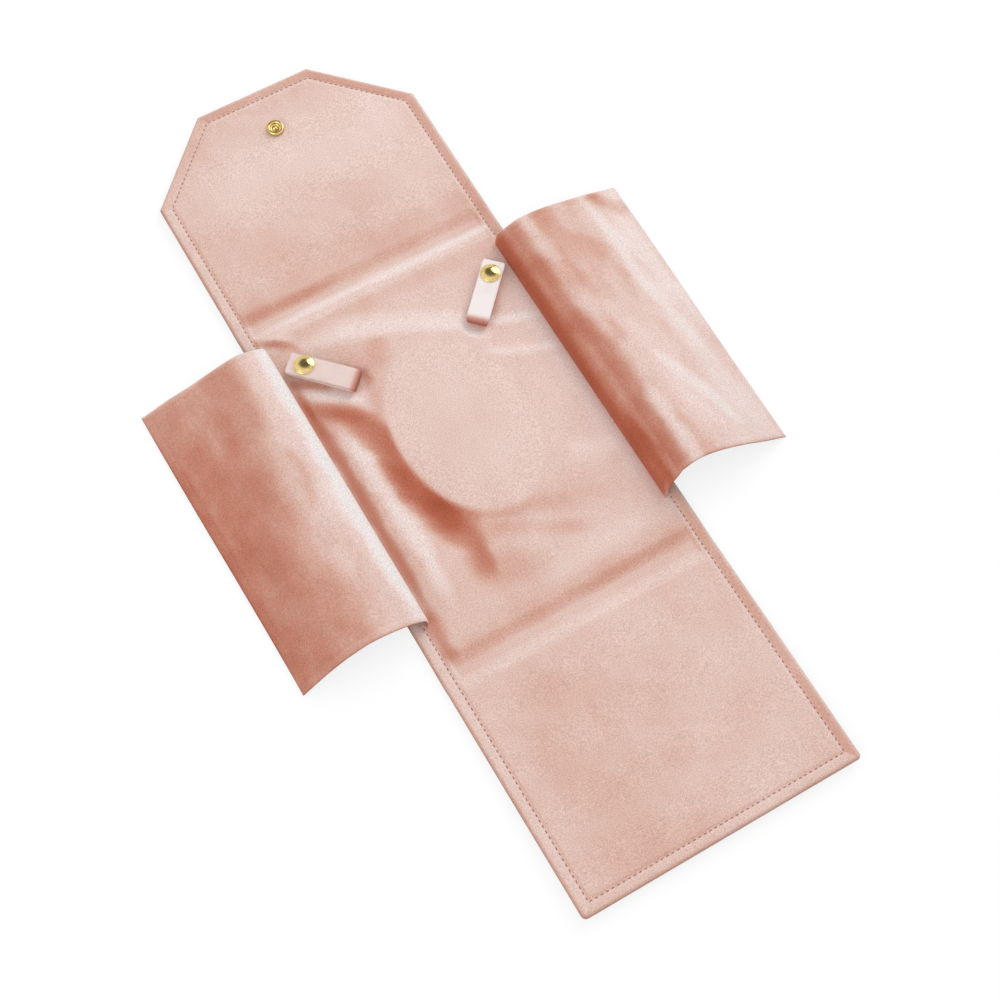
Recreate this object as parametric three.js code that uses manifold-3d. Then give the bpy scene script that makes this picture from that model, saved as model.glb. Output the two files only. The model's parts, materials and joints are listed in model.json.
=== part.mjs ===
// Fold-up jewelry pouch in velvet, laid open. A flap, an upper spine, a middle panel, a lower spine and a
// front panel lie in a row. A wing is sewn along each side of the middle panel, and two snap straps sit on
// its lining.
// Millimetres, +Z up, +Y towards the flap, origin under the centre of the middle panel.

import * as THREE from 'three';
import { mergeVertices } from 'three/addons/utils/BufferGeometryUtils.js';
import Module from 'manifold-3d';

// Panels, laid flat
const PANEL_WIDTH = 120;
const MIDDLE_LENGTH = 157.5;
const UPPER_SPINE = 9;
const LOWER_SPINE = 8.8;
const FLAP_LENGTH = 98;
const FLAP_CUT_WIDTH = 34;
const FLAP_CUT_LENGTH = 33.3;
const FLAP_SNAP_INSET = 21.5;
const FRONT_SNAP_INSET = 17;
const CORNER_RADIUS = 2;
const CORNER_STEPS = 3;
const FOLD_GAP = 0.3;
const FOLD_LIFT = 0.5;

// Layers: velvet cover, board, velvet lining
const VELVET = 0.7;
const BOARD = 1.2;
const GLUE = 0.1;

// Sewn border: a rounded edge, then the dip that the stitching draws in
const HEM = 5.5;
const EDGE_ROLL = 1.8;
const EDGE_STEPS = 3;
const EDGE_LIP = 0.25;
const STITCH_DIP = 0.5;
const STITCH_HALF_WIDTH = 1.3;
const BOARD_MARGIN = 0.3;
const BOARD_FOLD_MARGIN = 1;

// Oval pad under the middle lining
const PAD_HALF_WIDTH = 28.4;
const PAD_HALF_LENGTH = 41.6;
const PAD_OFFSET = 4.65;
const PAD_THICKNESS = 1.6;
const PAD_CROWN = 0.4;
const PAD_ROUND = 1.2;
const PAD_CROWN_INSET = 12;
const PAD_MARGIN = 0.6;
const PAD_SLOPE = 5;
const PAD_SIDES = 40;

// Wings: a root stands up from the seam, a shoulder arches over and a panel slopes down to the table
const WING_LENGTH = 133;
const WING_OFFSET = 4.5;
const WING_SEAM_INSET = 6.4;
const WING_SEAT = 0.35;
const WING_LAYER = 0.6;
const WING_ROOT = 7.6;
const WING_ROOT_ANGLE = THREE.MathUtils.degToRad(66);
const WING_ROOT_BULGE = 0.2;
const WING_SHOULDER = 11;
const WING_SHOULDER_ANGLE = THREE.MathUtils.degToRad(25);
const WING_SHOULDER_BULGE = 0.7;
const WING_PANEL = 44;
const WING_PANEL_BULGE = 0.7;
const WING_ROOT_FACE_CUT = 1.2;
const WING_ROOT_BACK_CUT = 0.4;
const WING_CREST_FACE_CUT = 0.15;
const WING_CREST_BACK_CUT = 0.45;
const WING_SEAM_CUT = 0.3;
const ARC_STEPS = 8;

// Snap straps: lower leg, bend and tongue
const STRAP_SNAP_INSET_X = 17.2;
const STRAP_SNAP_INSET_Y = 21.75;
const STRAP_ANGLE = THREE.MathUtils.degToRad(46);
const STRAP_WIDTH = 10;
const STRAP_THICKNESS = 1;
const STRAP_OUTER_REACH = 6.9;
const STRAP_INNER_REACH = 22.8;
const STRAP_CORNER = 1.5;

// Press studs: cap with its rivet, socket, stud and eyelet
const CAP_RADIUS = 3.9;
const CAP_HEIGHT = 1.3;
const CAP_RIM = 0.4;
const CAP_EDGE = 0.2;
const CAP_STEPS = 5;
const RIVET_RADIUS = 1;
const RIVET_FLARE_RADIUS = 1.4;
const RIVET_FLARE = 0.25;
const SOCKET_RADIUS = 3.7;
const SOCKET_HEIGHT = 1.8;
const SOCKET_BORE = 2.15;
const SOCKET_LIP = 0.15;
const SOCKET_FLOOR = 0.4;
const SOCKET_ROUND = 0.45;
const STUD_FLANGE_RADIUS = 3.6;
const STUD_FLANGE = 0.4;
const STUD_HEAD_RADIUS = 1.65;
const STUD_NECK_RADIUS = 1.4;
const STUD_HEIGHT = 1.6;
const STUD_ROUND = 0.3;
const EYELET_RADIUS = 0.9;
const EYELET_FLANGE_RADIUS = 2.8;
const EYELET_FLANGE = 0.3;
const SNAP_PLAY = 0.35;
const METAL_FIT = 0.1;
const CLOTH_FIT = 0.3;
const SNAP_SIDES = 24;

// Faces with less than this area are left out of a sheet
const SLIVER = 1e-9;

// Heights of the layers
const BOARD_BOTTOM = VELVET + GLUE;
const BOARD_TOP = BOARD_BOTTOM + BOARD;
const LINING_BOTTOM = BOARD_TOP + GLUE;
const LINING_TOP = LINING_BOTTOM + VELVET;
const SEAM_BOTTOM = (LINING_TOP - GLUE) / 2;
const SEAM_TOP = SEAM_BOTTOM + GLUE;
const FOLD_AXIS = LINING_TOP + FOLD_LIFT;
const BOARD_INSET = HEM + STITCH_HALF_WIDTH + BOARD_MARGIN;

// Places along the row
const MIDDLE_EDGE = MIDDLE_LENGTH / 2;
const FLAP_CREASE = MIDDLE_EDGE + UPPER_SPINE;
const FRONT_CREASE = -MIDDLE_EDGE - LOWER_SPINE;

// Where the snaps meet when the pouch is closed: the flap slopes up from its crease over the front panel
const SNAP_GAP = GLUE + STUD_FLANGE + SNAP_PLAY + SOCKET_HEIGHT + GLUE;
const SNAP_REACH = FLAP_LENGTH - FLAP_SNAP_INSET;
const CLOSED_FRONT_TOP = FOLD_AXIS + LOWER_SPINE + FOLD_AXIS;
const CLOSED_FLAP_CREASE = FOLD_AXIS + UPPER_SPINE + FOLD_LIFT;
const CLOSED_SLOPE = Math.asin((CLOSED_FRONT_TOP + SNAP_GAP - CLOSED_FLAP_CREASE) / SNAP_REACH);
const STUD_REACH = MIDDLE_LENGTH - SNAP_REACH * Math.cos(CLOSED_SLOPE);
const FRONT_LENGTH = STUD_REACH + FRONT_SNAP_INSET;

// Laid open, the flap rests on its cap and the front panel on its stud, so each tilts up a little
const FLAP_TILT = Math.asin((CAP_HEIGHT + GLUE) / SNAP_REACH);
const FRONT_TILT = Math.asin((STUD_HEIGHT + GLUE) / STUD_REACH);

const velvet = () => new THREE.MeshStandardMaterial({ color: 0xdcaa9c, roughness: 0.95, metalness: 0 });
const board = () => new THREE.MeshStandardMaterial({ color: 0xb9aa97, roughness: 0.9, metalness: 0 });
const foam = () => new THREE.MeshStandardMaterial({ color: 0xeee6dc, roughness: 0.95, metalness: 0 });
const brass = () => new THREE.MeshStandardMaterial({ color: 0xd9bf6b, roughness: 0.22, metalness: 1 });

const wasm = await Module();
wasm.setup();

function solidOf(geometry) {
  const bare = geometry.clone();
  bare.deleteAttribute('normal');
  bare.deleteAttribute('uv');
  const merged = mergeVertices(bare);
  const vertProperties = merged.getAttribute('position').array;
  const triVerts = new Uint32Array(merged.index.array);
  return new wasm.Manifold(new wasm.Mesh({ numProp: 3, vertProperties, triVerts }));
}

function geometryOf(solid) {
  const mesh = solid.getMesh();
  const geometry = new THREE.BufferGeometry();
  geometry.setAttribute('position', new THREE.BufferAttribute(mesh.vertProperties, mesh.numProp));
  geometry.setIndex(new THREE.BufferAttribute(mesh.triVerts, 1));
  geometry.computeVertexNormals();
  return geometry;
}

// Round holes straight down through a layer, each { x, y, radius, low, high }
function drilled(geometry, holes) {
  let solid = solidOf(geometry);
  for (const { x, y, radius, low, high } of holes) {
    const bit = new THREE.CylinderGeometry(radius, radius, high - low, SNAP_SIDES).rotateX(Math.PI / 2);
    solid = solid.subtract(solidOf(bit.translate(x, y, (low + high) / 2)));
  }
  return geometryOf(solid);
}

function extruded(shape, depth) {
  return new THREE.ExtrudeGeometry(shape, { depth, bevelEnabled: false, curveSegments: ARC_STEPS });
}

function addMesh(group, name, geometry, material) {
  const mesh = new THREE.Mesh(geometry, material);
  mesh.name = name;
  group.add(mesh);
  return mesh;
}

// An anticlockwise outline whose edges each move inwards by their own distance. Hemmed corners are rounded.
function insetOutline(corners, hemmed, distances) {
  const count = corners.length;
  const along = corners.map((corner, i) => corners[(i + 1) % count].clone().sub(corner).normalize());
  const inward = along.map((direction) => new THREE.Vector2(-direction.y, direction.x));
  const outline = [];
  corners.forEach((corner, i) => {
    const before = (i + count - 1) % count;
    const turn = along[before].cross(along[i]);
    const tip = corner.clone();
    tip.addScaledVector(along[i], distances[before] / turn);
    tip.addScaledVector(along[before], -distances[i] / turn);
    if (!hemmed[before] || !hemmed[i]) {
      outline.push(tip);
      return;
    }
    const halfTurn = Math.asin(turn) / 2;
    const radius = CORNER_RADIUS * (1 - Math.max(distances[i], distances[before]) / (2 * BOARD_INSET));
    const start = tip.clone().addScaledVector(along[before], -radius * Math.tan(halfTurn));
    const centre = start.clone().addScaledVector(inward[before], radius);
    for (let step = 0; step <= CORNER_STEPS; step += 1) {
      const spoke = start.clone().rotateAround(centre, (2 * halfTurn * step) / CORNER_STEPS);
      outline.push(spoke);
    }
  });
  return outline;
}

function ellipseOutline(halfWidth, halfLength, centreY) {
  const curve = new THREE.EllipseCurve(0, centreY, halfWidth, halfLength, 0, 2 * Math.PI);
  return curve.getPoints(PAD_SIDES).slice(0, PAD_SIDES);
}

// Closes a net of flat faces into a solid: each point has a top and a bottom height, and open edges get walls
function closedSheet(points, faces) {
  const count = points.length;
  const positions = [];
  points.forEach((point) => positions.push(point.x, point.y, point.top));
  points.forEach((point) => positions.push(point.x, point.y, point.bottom));
  const index = [];
  const edges = new Map();
  for (const [a, b, c] of faces) {
    index.push(a, b, c, count + c, count + b, count + a);
    for (const [from, to] of [[a, b], [b, c], [c, a]]) {
      edges.set(`${from} ${to}`, [from, to]);
    }
  }
  for (const [from, to] of edges.values()) {
    if (!edges.has(`${to} ${from}`)) {
      index.push(count + from, count + to, to, count + from, to, from);
    }
  }
  const geometry = new THREE.BufferGeometry();
  geometry.setAttribute('position', new THREE.Float32BufferAttribute(positions, 3));
  geometry.setIndex(index);
  geometry.computeVertexNormals();
  return geometry;
}

// A sheet made of nested outlines. Loops run from the edge inwards, each { outline, top, bottom }. Where two
// neighbouring loops share an edge line, no strip lies between them. Islands are loops inside the last one.
function loopedSheet(loops, islands = []) {
  const points = [];
  const faces = [];
  const placed = [...loops, ...islands].map(({ outline, top, bottom }) => {
    const first = points.length;
    outline.forEach((point) => points.push({ x: point.x, y: point.y, top, bottom }));
    return outline.map((point, i) => first + i);
  });
  const area = (a, b, c) => (points[b].x - points[a].x) * (points[c].y - points[a].y)
    - (points[c].x - points[a].x) * (points[b].y - points[a].y);
  const addFace = (a, b, c) => {
    const signed = area(a, b, c);
    if (Math.abs(signed) < SLIVER) return;
    faces.push(signed > 0 ? [a, b, c] : [a, c, b]);
  };
  const addStrip = (outer, inner) => {
    outer.forEach((from, i) => {
      const next = (i + 1) % outer.length;
      addFace(from, outer[next], inner[next]);
      addFace(from, inner[next], inner[i]);
    });
  };
  const addFill = (outer, holes) => {
    const flat = (ids) => ids.map((id) => new THREE.Vector2(points[id].x, points[id].y));
    const ids = [outer, ...holes].flat();
    const found = THREE.ShapeUtils.triangulateShape(flat(outer), holes.map(flat));
    found.forEach(([a, b, c]) => addFace(ids[a], ids[b], ids[c]));
  };
  for (let k = 1; k < loops.length; k += 1) addStrip(placed[k - 1], placed[k]);
  for (let k = loops.length + 1; k < placed.length; k += 1) addStrip(placed[k - 1], placed[k]);
  const field = placed[loops.length - 1];
  addFill(field, islands.length ? [placed[loops.length]] : []);
  if (islands.length) addFill(placed[placed.length - 1], []);
  return closedSheet(points, faces);
}

// Quarter of an oval from the outermost edge to the level border: { inset, rise } with rise from 0 to 1
function edgeRoll() {
  return Array.from({ length: EDGE_STEPS + 1 }, (unused, step) => {
    const angle = (Math.PI / 2) * (step / EDGE_STEPS);
    return { inset: EDGE_ROLL * (1 - Math.cos(angle)), rise: Math.sin(angle) };
  });
}

function hemLoops(panel, rings) {
  return rings.map(({ inset, top, bottom }) => {
    const distances = panel.hemmed.map((sewn) => (sewn ? inset : 0));
    return { outline: insetOutline(panel.corners, panel.hemmed, distances), top, bottom };
  });
}

function coverLoops(panel) {
  const lip = SEAM_BOTTOM - EDGE_LIP;
  const roll = edgeRoll().map(({ inset, rise }) => ({ inset, top: SEAM_BOTTOM, bottom: lip * (1 - rise) }));
  return hemLoops(panel, [
    ...roll,
    { inset: HEM, top: SEAM_BOTTOM, bottom: 0 },
    { inset: HEM + STITCH_HALF_WIDTH, top: VELVET, bottom: 0 },
  ]);
}

function liningLoops(panel, fieldBottom) {
  const lip = SEAM_TOP + EDGE_LIP;
  const roll = edgeRoll().map(({ inset, rise }) => (
    { inset, top: lip + (LINING_TOP - lip) * rise, bottom: SEAM_TOP }
  ));
  return hemLoops(panel, [
    ...roll,
    { inset: HEM - STITCH_HALF_WIDTH, top: LINING_TOP, bottom: SEAM_TOP },
    { inset: HEM, top: LINING_TOP - STITCH_DIP, bottom: SEAM_TOP },
    { inset: HEM + STITCH_HALF_WIDTH, top: fieldBottom + VELVET, bottom: fieldBottom },
  ]);
}

function boardPlate(panel) {
  const distances = panel.hemmed.map((sewn) => (sewn ? BOARD_INSET : BOARD_FOLD_MARGIN));
  const shape = new THREE.Shape(insetOutline(panel.corners, panel.hemmed, distances));
  return extruded(shape, BOARD).translate(0, 0, BOARD_BOTTOM);
}

// Four-sided panel between two heights of the row, folded along its ends unless the low end is sewn
function squarePanel(low, high, lowSewn) {
  const half = PANEL_WIDTH / 2;
  const corners = [[-half, low], [half, low], [half, high], [-half, high]];
  return {
    corners: corners.map(([x, y]) => new THREE.Vector2(x, y)),
    hemmed: [lowSewn, true, false, true],
  };
}

function flapPanel() {
  const half = PANEL_WIDTH / 2;
  const end = half - FLAP_CUT_WIDTH;
  const shoulder = FLAP_LENGTH - FLAP_CUT_LENGTH;
  const low = FOLD_GAP / 2;
  const corners = [
    [-half, low], [half, low], [half, shoulder], [end, FLAP_LENGTH], [-end, FLAP_LENGTH], [-half, shoulder],
  ];
  return {
    corners: corners.map(([x, y]) => new THREE.Vector2(x, y)),
    hemmed: [false, true, true, true, true, true],
  };
}

// A turned piece from its profile of [radius, height] pairs
function turned(profile) {
  const points = profile.map(([radius, height]) => new THREE.Vector2(radius, height));
  return new THREE.LatheGeometry(points, SNAP_SIDES).rotateX(Math.PI / 2);
}

// Domed cap standing on its cloth, with a rivet through the cloth and the socket's floor
function snapCap(clothThickness) {
  const shank = clothThickness + 3 * GLUE + SOCKET_FLOOR;
  const dome = Array.from({ length: CAP_STEPS + 1 }, (unused, step) => {
    const angle = (Math.PI / 2) * (step / CAP_STEPS);
    return [CAP_RADIUS * Math.cos(angle), CAP_RIM + (CAP_HEIGHT - CAP_RIM) * Math.sin(angle)];
  });
  dome[CAP_STEPS][0] = 0;
  return turned([
    [0, -shank - RIVET_FLARE],
    [RIVET_FLARE_RADIUS, -shank - RIVET_FLARE],
    [RIVET_FLARE_RADIUS, -shank],
    [RIVET_RADIUS, -shank],
    [RIVET_RADIUS, 0],
    [CAP_RADIUS - CAP_EDGE, 0],
    [CAP_RADIUS, CAP_EDGE],
    ...dome,
  ]);
}

// Round socket standing on its cloth with its mouth up
function snapSocket() {
  const hole = RIVET_RADIUS + METAL_FIT;
  return turned([
    [hole, 0],
    [SOCKET_RADIUS, 0],
    [SOCKET_RADIUS, SOCKET_HEIGHT - SOCKET_ROUND],
    [SOCKET_RADIUS - SOCKET_ROUND, SOCKET_HEIGHT],
    [SOCKET_BORE, SOCKET_HEIGHT],
    [SOCKET_BORE - SOCKET_LIP, SOCKET_HEIGHT - SOCKET_ROUND],
    [SOCKET_BORE, SOCKET_HEIGHT - 2 * SOCKET_ROUND],
    [SOCKET_BORE, SOCKET_FLOOR],
    [hole, SOCKET_FLOOR],
    [hole, 0],
  ]);
}

// Stud standing on its cloth: a flange, a neck and a round head
function snapStud() {
  const hole = EYELET_RADIUS + METAL_FIT;
  return turned([
    [hole, 0],
    [STUD_FLANGE_RADIUS, 0],
    [STUD_FLANGE_RADIUS, STUD_FLANGE / 2],
    [STUD_FLANGE_RADIUS - STUD_FLANGE, STUD_FLANGE],
    [STUD_NECK_RADIUS, STUD_FLANGE],
    [STUD_NECK_RADIUS, STUD_FLANGE + STUD_ROUND],
    [STUD_HEAD_RADIUS, STUD_FLANGE + 2 * STUD_ROUND],
    [STUD_HEAD_RADIUS, STUD_HEIGHT - STUD_ROUND],
    [STUD_HEAD_RADIUS - STUD_ROUND, STUD_HEIGHT],
    [hole, STUD_HEIGHT],
    [hole, 0],
  ]);
}

// Eyelet with its flange under the cloth and its barrel up to the top of the stud
function snapEyelet(clothThickness) {
  const barrel = clothThickness + 2 * GLUE + STUD_HEIGHT;
  return turned([
    [0, -EYELET_FLANGE],
    [EYELET_FLANGE_RADIUS, -EYELET_FLANGE],
    [EYELET_FLANGE_RADIUS, 0],
    [EYELET_RADIUS, 0],
    [EYELET_RADIUS, barrel],
    [0, barrel],
  ]);
}

function makeSpine(name, low, high) {
  const group = new THREE.Group();
  const panel = squarePanel(low + FOLD_GAP / 2, high - FOLD_GAP / 2, false);
  addMesh(group, `${name}_cover`, loopedSheet(coverLoops(panel)), velvet());
  addMesh(group, `${name}_lining`, loopedSheet(liningLoops(panel, SEAM_TOP)), velvet());
  return group;
}

function makeFlap() {
  const group = new THREE.Group();
  group.position.y = FLAP_CREASE;
  group.rotation.x = FLAP_TILT;
  const panel = flapPanel();
  const radius = RIVET_RADIUS + CLOTH_FIT;
  const hole = { x: 0, y: SNAP_REACH, radius, low: -VELVET, high: LINING_TOP + VELVET };
  addMesh(group, 'flap_cover', drilled(loopedSheet(coverLoops(panel)), [hole]), velvet());
  addMesh(group, 'flap_board', drilled(boardPlate(panel), [hole]), board());
  addMesh(group, 'flap_lining', drilled(loopedSheet(liningLoops(panel, LINING_BOTTOM)), [hole]), velvet());
  const cap = addMesh(group, 'flap_cap', snapCap(LINING_TOP), brass());
  cap.position.set(0, SNAP_REACH, -GLUE);
  cap.rotation.x = Math.PI;
  const socket = addMesh(group, 'flap_socket', snapSocket(), brass());
  socket.position.set(0, SNAP_REACH, LINING_TOP + GLUE);
  return group;
}

function makeFront() {
  const group = new THREE.Group();
  group.position.y = FRONT_CREASE;
  group.rotation.x = -FRONT_TILT;
  const panel = squarePanel(-FRONT_LENGTH, -FOLD_GAP / 2, true);
  const flangeTop = LINING_BOTTOM - GLUE;
  const seat = flangeTop - EYELET_FLANGE - GLUE;
  const place = { x: 0, y: -STUD_REACH };
  const barrelHole = { ...place, radius: EYELET_RADIUS + CLOTH_FIT, low: -VELVET, high: LINING_BOTTOM };
  const flangeHole = { ...place, radius: EYELET_FLANGE_RADIUS + CLOTH_FIT, low: seat, high: LINING_BOTTOM };
  addMesh(group, 'front_cover', drilled(loopedSheet(coverLoops(panel)), [barrelHole]), velvet());
  addMesh(group, 'front_board', drilled(boardPlate(panel), [barrelHole, flangeHole]), board());
  addMesh(group, 'front_lining', loopedSheet(liningLoops(panel, LINING_BOTTOM)), velvet());
  const stud = addMesh(group, 'front_stud', snapStud(), brass());
  stud.position.set(0, -STUD_REACH, -GLUE);
  stud.rotation.x = Math.PI;
  const eyelet = addMesh(group, 'front_eyelet', snapEyelet(flangeTop - EYELET_FLANGE - GLUE), brass());
  eyelet.position.set(0, -STUD_REACH, flangeTop - EYELET_FLANGE);
  eyelet.rotation.x = Math.PI;
  return group;
}

// Heights of the pad's top and of the lining over it, from the foot of the slope to the crown
function padLoops() {
  const base = BOARD_TOP + GLUE;
  const ring = (offset, top) => ({
    outline: ellipseOutline(PAD_HALF_WIDTH + offset, PAD_HALF_LENGTH + offset, PAD_OFFSET),
    top: base + top,
    bottom: base,
  });
  return [
    ring(0, PAD_THICKNESS - PAD_ROUND),
    ring(-PAD_ROUND, PAD_THICKNESS),
    ring(-PAD_CROWN_INSET, PAD_THICKNESS + PAD_CROWN),
  ];
}

function raisedLoops() {
  const ring = (offset, rise) => ({
    outline: ellipseOutline(PAD_HALF_WIDTH + offset, PAD_HALF_LENGTH + offset, PAD_OFFSET),
    top: LINING_TOP + rise,
    bottom: LINING_BOTTOM + rise,
  });
  const rise = PAD_THICKNESS + GLUE;
  return [ring(PAD_SLOPE, 0), ring(PAD_MARGIN, rise), ring(-PAD_CROWN_INSET, rise + PAD_CROWN)];
}

function snapPlace(side) {
  return {
    x: side * (PANEL_WIDTH / 2 - STRAP_SNAP_INSET_X),
    y: MIDDLE_EDGE - STRAP_SNAP_INSET_Y,
  };
}

function makeMiddle() {
  const group = new THREE.Group();
  const panel = squarePanel(-MIDDLE_EDGE + FOLD_GAP / 2, MIDDLE_EDGE - FOLD_GAP / 2, false);
  const flangeSeat = LINING_BOTTOM - GLUE - EYELET_FLANGE - GLUE;
  const pockets = [-1, 1].map((side) => (
    { ...snapPlace(side), radius: EYELET_FLANGE_RADIUS + CLOTH_FIT, low: flangeSeat, high: LINING_BOTTOM }
  ));
  const holes = [-1, 1].map((side) => (
    { ...snapPlace(side), radius: EYELET_RADIUS + CLOTH_FIT, low: BOARD_TOP, high: LINING_TOP + VELVET }
  ));
  const lining = loopedSheet(liningLoops(panel, LINING_BOTTOM), raisedLoops());
  addMesh(group, 'middle_cover', loopedSheet(coverLoops(panel)), velvet());
  addMesh(group, 'middle_board', drilled(boardPlate(panel), pockets), board());
  addMesh(group, 'oval_pad', loopedSheet(padLoops()), foam());
  addMesh(group, 'middle_lining', drilled(lining, holes), velvet());
  return group;
}

// One leg of a strap, lying along +X with the snap's hole at the origin
function strapLeg(innerEnd, holeRadius) {
  const half = STRAP_WIDTH / 2;
  const cornerX = STRAP_CORNER - STRAP_OUTER_REACH;
  const cornerY = half - STRAP_CORNER;
  const shape = new THREE.Shape();
  shape.moveTo(innerEnd, -half);
  shape.lineTo(innerEnd, half);
  shape.absarc(cornerX, cornerY, STRAP_CORNER, Math.PI / 2, Math.PI, false);
  shape.absarc(cornerX, -cornerY, STRAP_CORNER, Math.PI, 1.5 * Math.PI, false);
  shape.closePath();
  shape.holes.push(new THREE.Path().absarc(0, 0, holeRadius, 0, 2 * Math.PI, true));
  return extruded(shape, STRAP_THICKNESS);
}

// The half turn at the strap's inner end, about an axis across the strap
function strapBend(innerRadius) {
  const outerRadius = innerRadius + STRAP_THICKNESS;
  const shape = new THREE.Shape();
  shape.absarc(0, 0, outerRadius, -Math.PI / 2, Math.PI / 2, false);
  shape.absarc(0, 0, innerRadius, Math.PI / 2, -Math.PI / 2, true);
  shape.closePath();
  return extruded(shape, STRAP_WIDTH).rotateX(Math.PI / 2).translate(0, STRAP_WIDTH / 2, 0);
}

// A strap on the middle lining: the snap near the panel's side, the bend towards its centre
function makeStrap(name, side) {
  const group = new THREE.Group();
  const { x, y } = snapPlace(side);
  group.position.set(x, y, LINING_TOP + GLUE);
  group.rotation.z = -Math.PI / 2 - side * (Math.PI / 2 - STRAP_ANGLE);
  const innerRadius = SNAP_GAP / 2;
  const bendPlace = STRAP_INNER_REACH - innerRadius - STRAP_THICKNESS;
  const legEnd = bendPlace - GLUE;
  const underLining = VELVET + GLUE;

  addMesh(group, `${name}_base`, strapLeg(legEnd, EYELET_RADIUS + CLOTH_FIT), velvet());
  const bend = addMesh(group, `${name}_fold`, strapBend(innerRadius), velvet());
  bend.position.set(bendPlace, 0, STRAP_THICKNESS + innerRadius);
  const stud = addMesh(group, `${name}_stud`, snapStud(), brass());
  stud.position.z = STRAP_THICKNESS + GLUE;
  const eyelet = addMesh(group, `${name}_eyelet`, snapEyelet(STRAP_THICKNESS + underLining), brass());
  eyelet.position.z = -GLUE - underLining;

  const tongue = new THREE.Group();
  tongue.position.z = STRAP_THICKNESS + SNAP_GAP;
  addMesh(tongue, `${name}_tongue`, strapLeg(legEnd, RIVET_RADIUS + CLOTH_FIT), velvet());
  const cap = addMesh(tongue, `${name}_cap`, snapCap(STRAP_THICKNESS), brass());
  cap.position.z = STRAP_THICKNESS + GLUE;
  const socket = addMesh(tongue, `${name}_socket`, snapSocket(), brass());
  socket.position.z = -GLUE;
  socket.rotation.x = Math.PI;
  group.add(tongue);
  return group;
}

// A stretch of one wing layer: a band along a shallow arc from the origin to +X, between two heights on it
function wingBand(chord, bulge, low, high, startCut, endCut) {
  const radius = (chord * chord / 4 + bulge * bulge) / (2 * bulge);
  const halfAngle = Math.asin(chord / 2 / radius);
  const start = Math.PI / 2 + halfAngle - startCut / radius;
  const end = Math.PI / 2 - halfAngle + endCut / radius;
  const shape = new THREE.Shape();
  shape.absarc(chord / 2, bulge - radius, radius + high, start, end, true);
  shape.absarc(chord / 2, bulge - radius, radius + low, end, start, false);
  shape.closePath();
  return extruded(shape, WING_LENGTH).rotateX(Math.PI / 2).translate(0, WING_LENGTH / 2, 0);
}

function wingStretch(name, chord, bulge, faceCuts, backCuts) {
  const group = new THREE.Group();
  const inner = GLUE / 2;
  const outer = inner + WING_LAYER;
  addMesh(group, `${name}_face`, wingBand(chord, bulge, inner, outer, ...faceCuts), velvet());
  addMesh(group, `${name}_back`, wingBand(chord, bulge, -outer, -inner, ...backCuts), velvet());
  return group;
}

// A wing as a chain of three stretches. The panel's far edge comes down to the table.
function makeWing(name, side) {
  const seat = LINING_TOP + WING_SEAT;
  const crest = seat + WING_ROOT * Math.sin(WING_ROOT_ANGLE) + WING_SHOULDER * Math.sin(WING_SHOULDER_ANGLE);
  const panelDrop = Math.asin((crest - WING_LAYER - GLUE / 2) / WING_PANEL);

  const root = wingStretch(`${name}_root`, WING_ROOT, WING_ROOT_BULGE,
    [WING_SEAM_CUT, WING_ROOT_FACE_CUT], [WING_SEAM_CUT, WING_ROOT_BACK_CUT]);
  root.rotation.y = -WING_ROOT_ANGLE;
  const shoulder = wingStretch(`${name}_shoulder`, WING_SHOULDER, WING_SHOULDER_BULGE,
    [WING_ROOT_FACE_CUT, WING_CREST_FACE_CUT], [WING_ROOT_BACK_CUT, WING_CREST_BACK_CUT]);
  shoulder.position.x = WING_ROOT;
  shoulder.rotation.y = WING_ROOT_ANGLE - WING_SHOULDER_ANGLE;
  root.add(shoulder);
  const panel = wingStretch(`${name}_panel`, WING_PANEL, WING_PANEL_BULGE,
    [WING_CREST_FACE_CUT, 0], [WING_CREST_BACK_CUT, 0]);
  panel.position.x = WING_SHOULDER;
  panel.rotation.y = WING_SHOULDER_ANGLE + panelDrop;
  shoulder.add(panel);

  const wing = new THREE.Group();
  wing.position.set(side * (PANEL_WIDTH / 2 - WING_SEAM_INSET), WING_OFFSET, seat);
  wing.rotation.z = side > 0 ? 0 : Math.PI;
  wing.add(root);
  return wing;
}

const pouch = new THREE.Group();
pouch.add(
  makeMiddle(),
  makeSpine('upper_spine', MIDDLE_EDGE, FLAP_CREASE),
  makeFlap(),
  makeSpine('lower_spine', FRONT_CREASE, -MIDDLE_EDGE),
  makeFront(),
  makeWing('left_wing', -1),
  makeWing('right_wing', 1),
  makeStrap('left_strap', -1),
  makeStrap('right_strap', 1),
);

export default pouch;
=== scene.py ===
"""Looks of a fold-up velvet jewelry pouch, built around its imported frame.

Lengths are in millimetres and are scaled to metres when a mesh is made. The pouch lies open: x runs
across it, +y towards the flap, z up from the table.
"""

import json
import math

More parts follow.
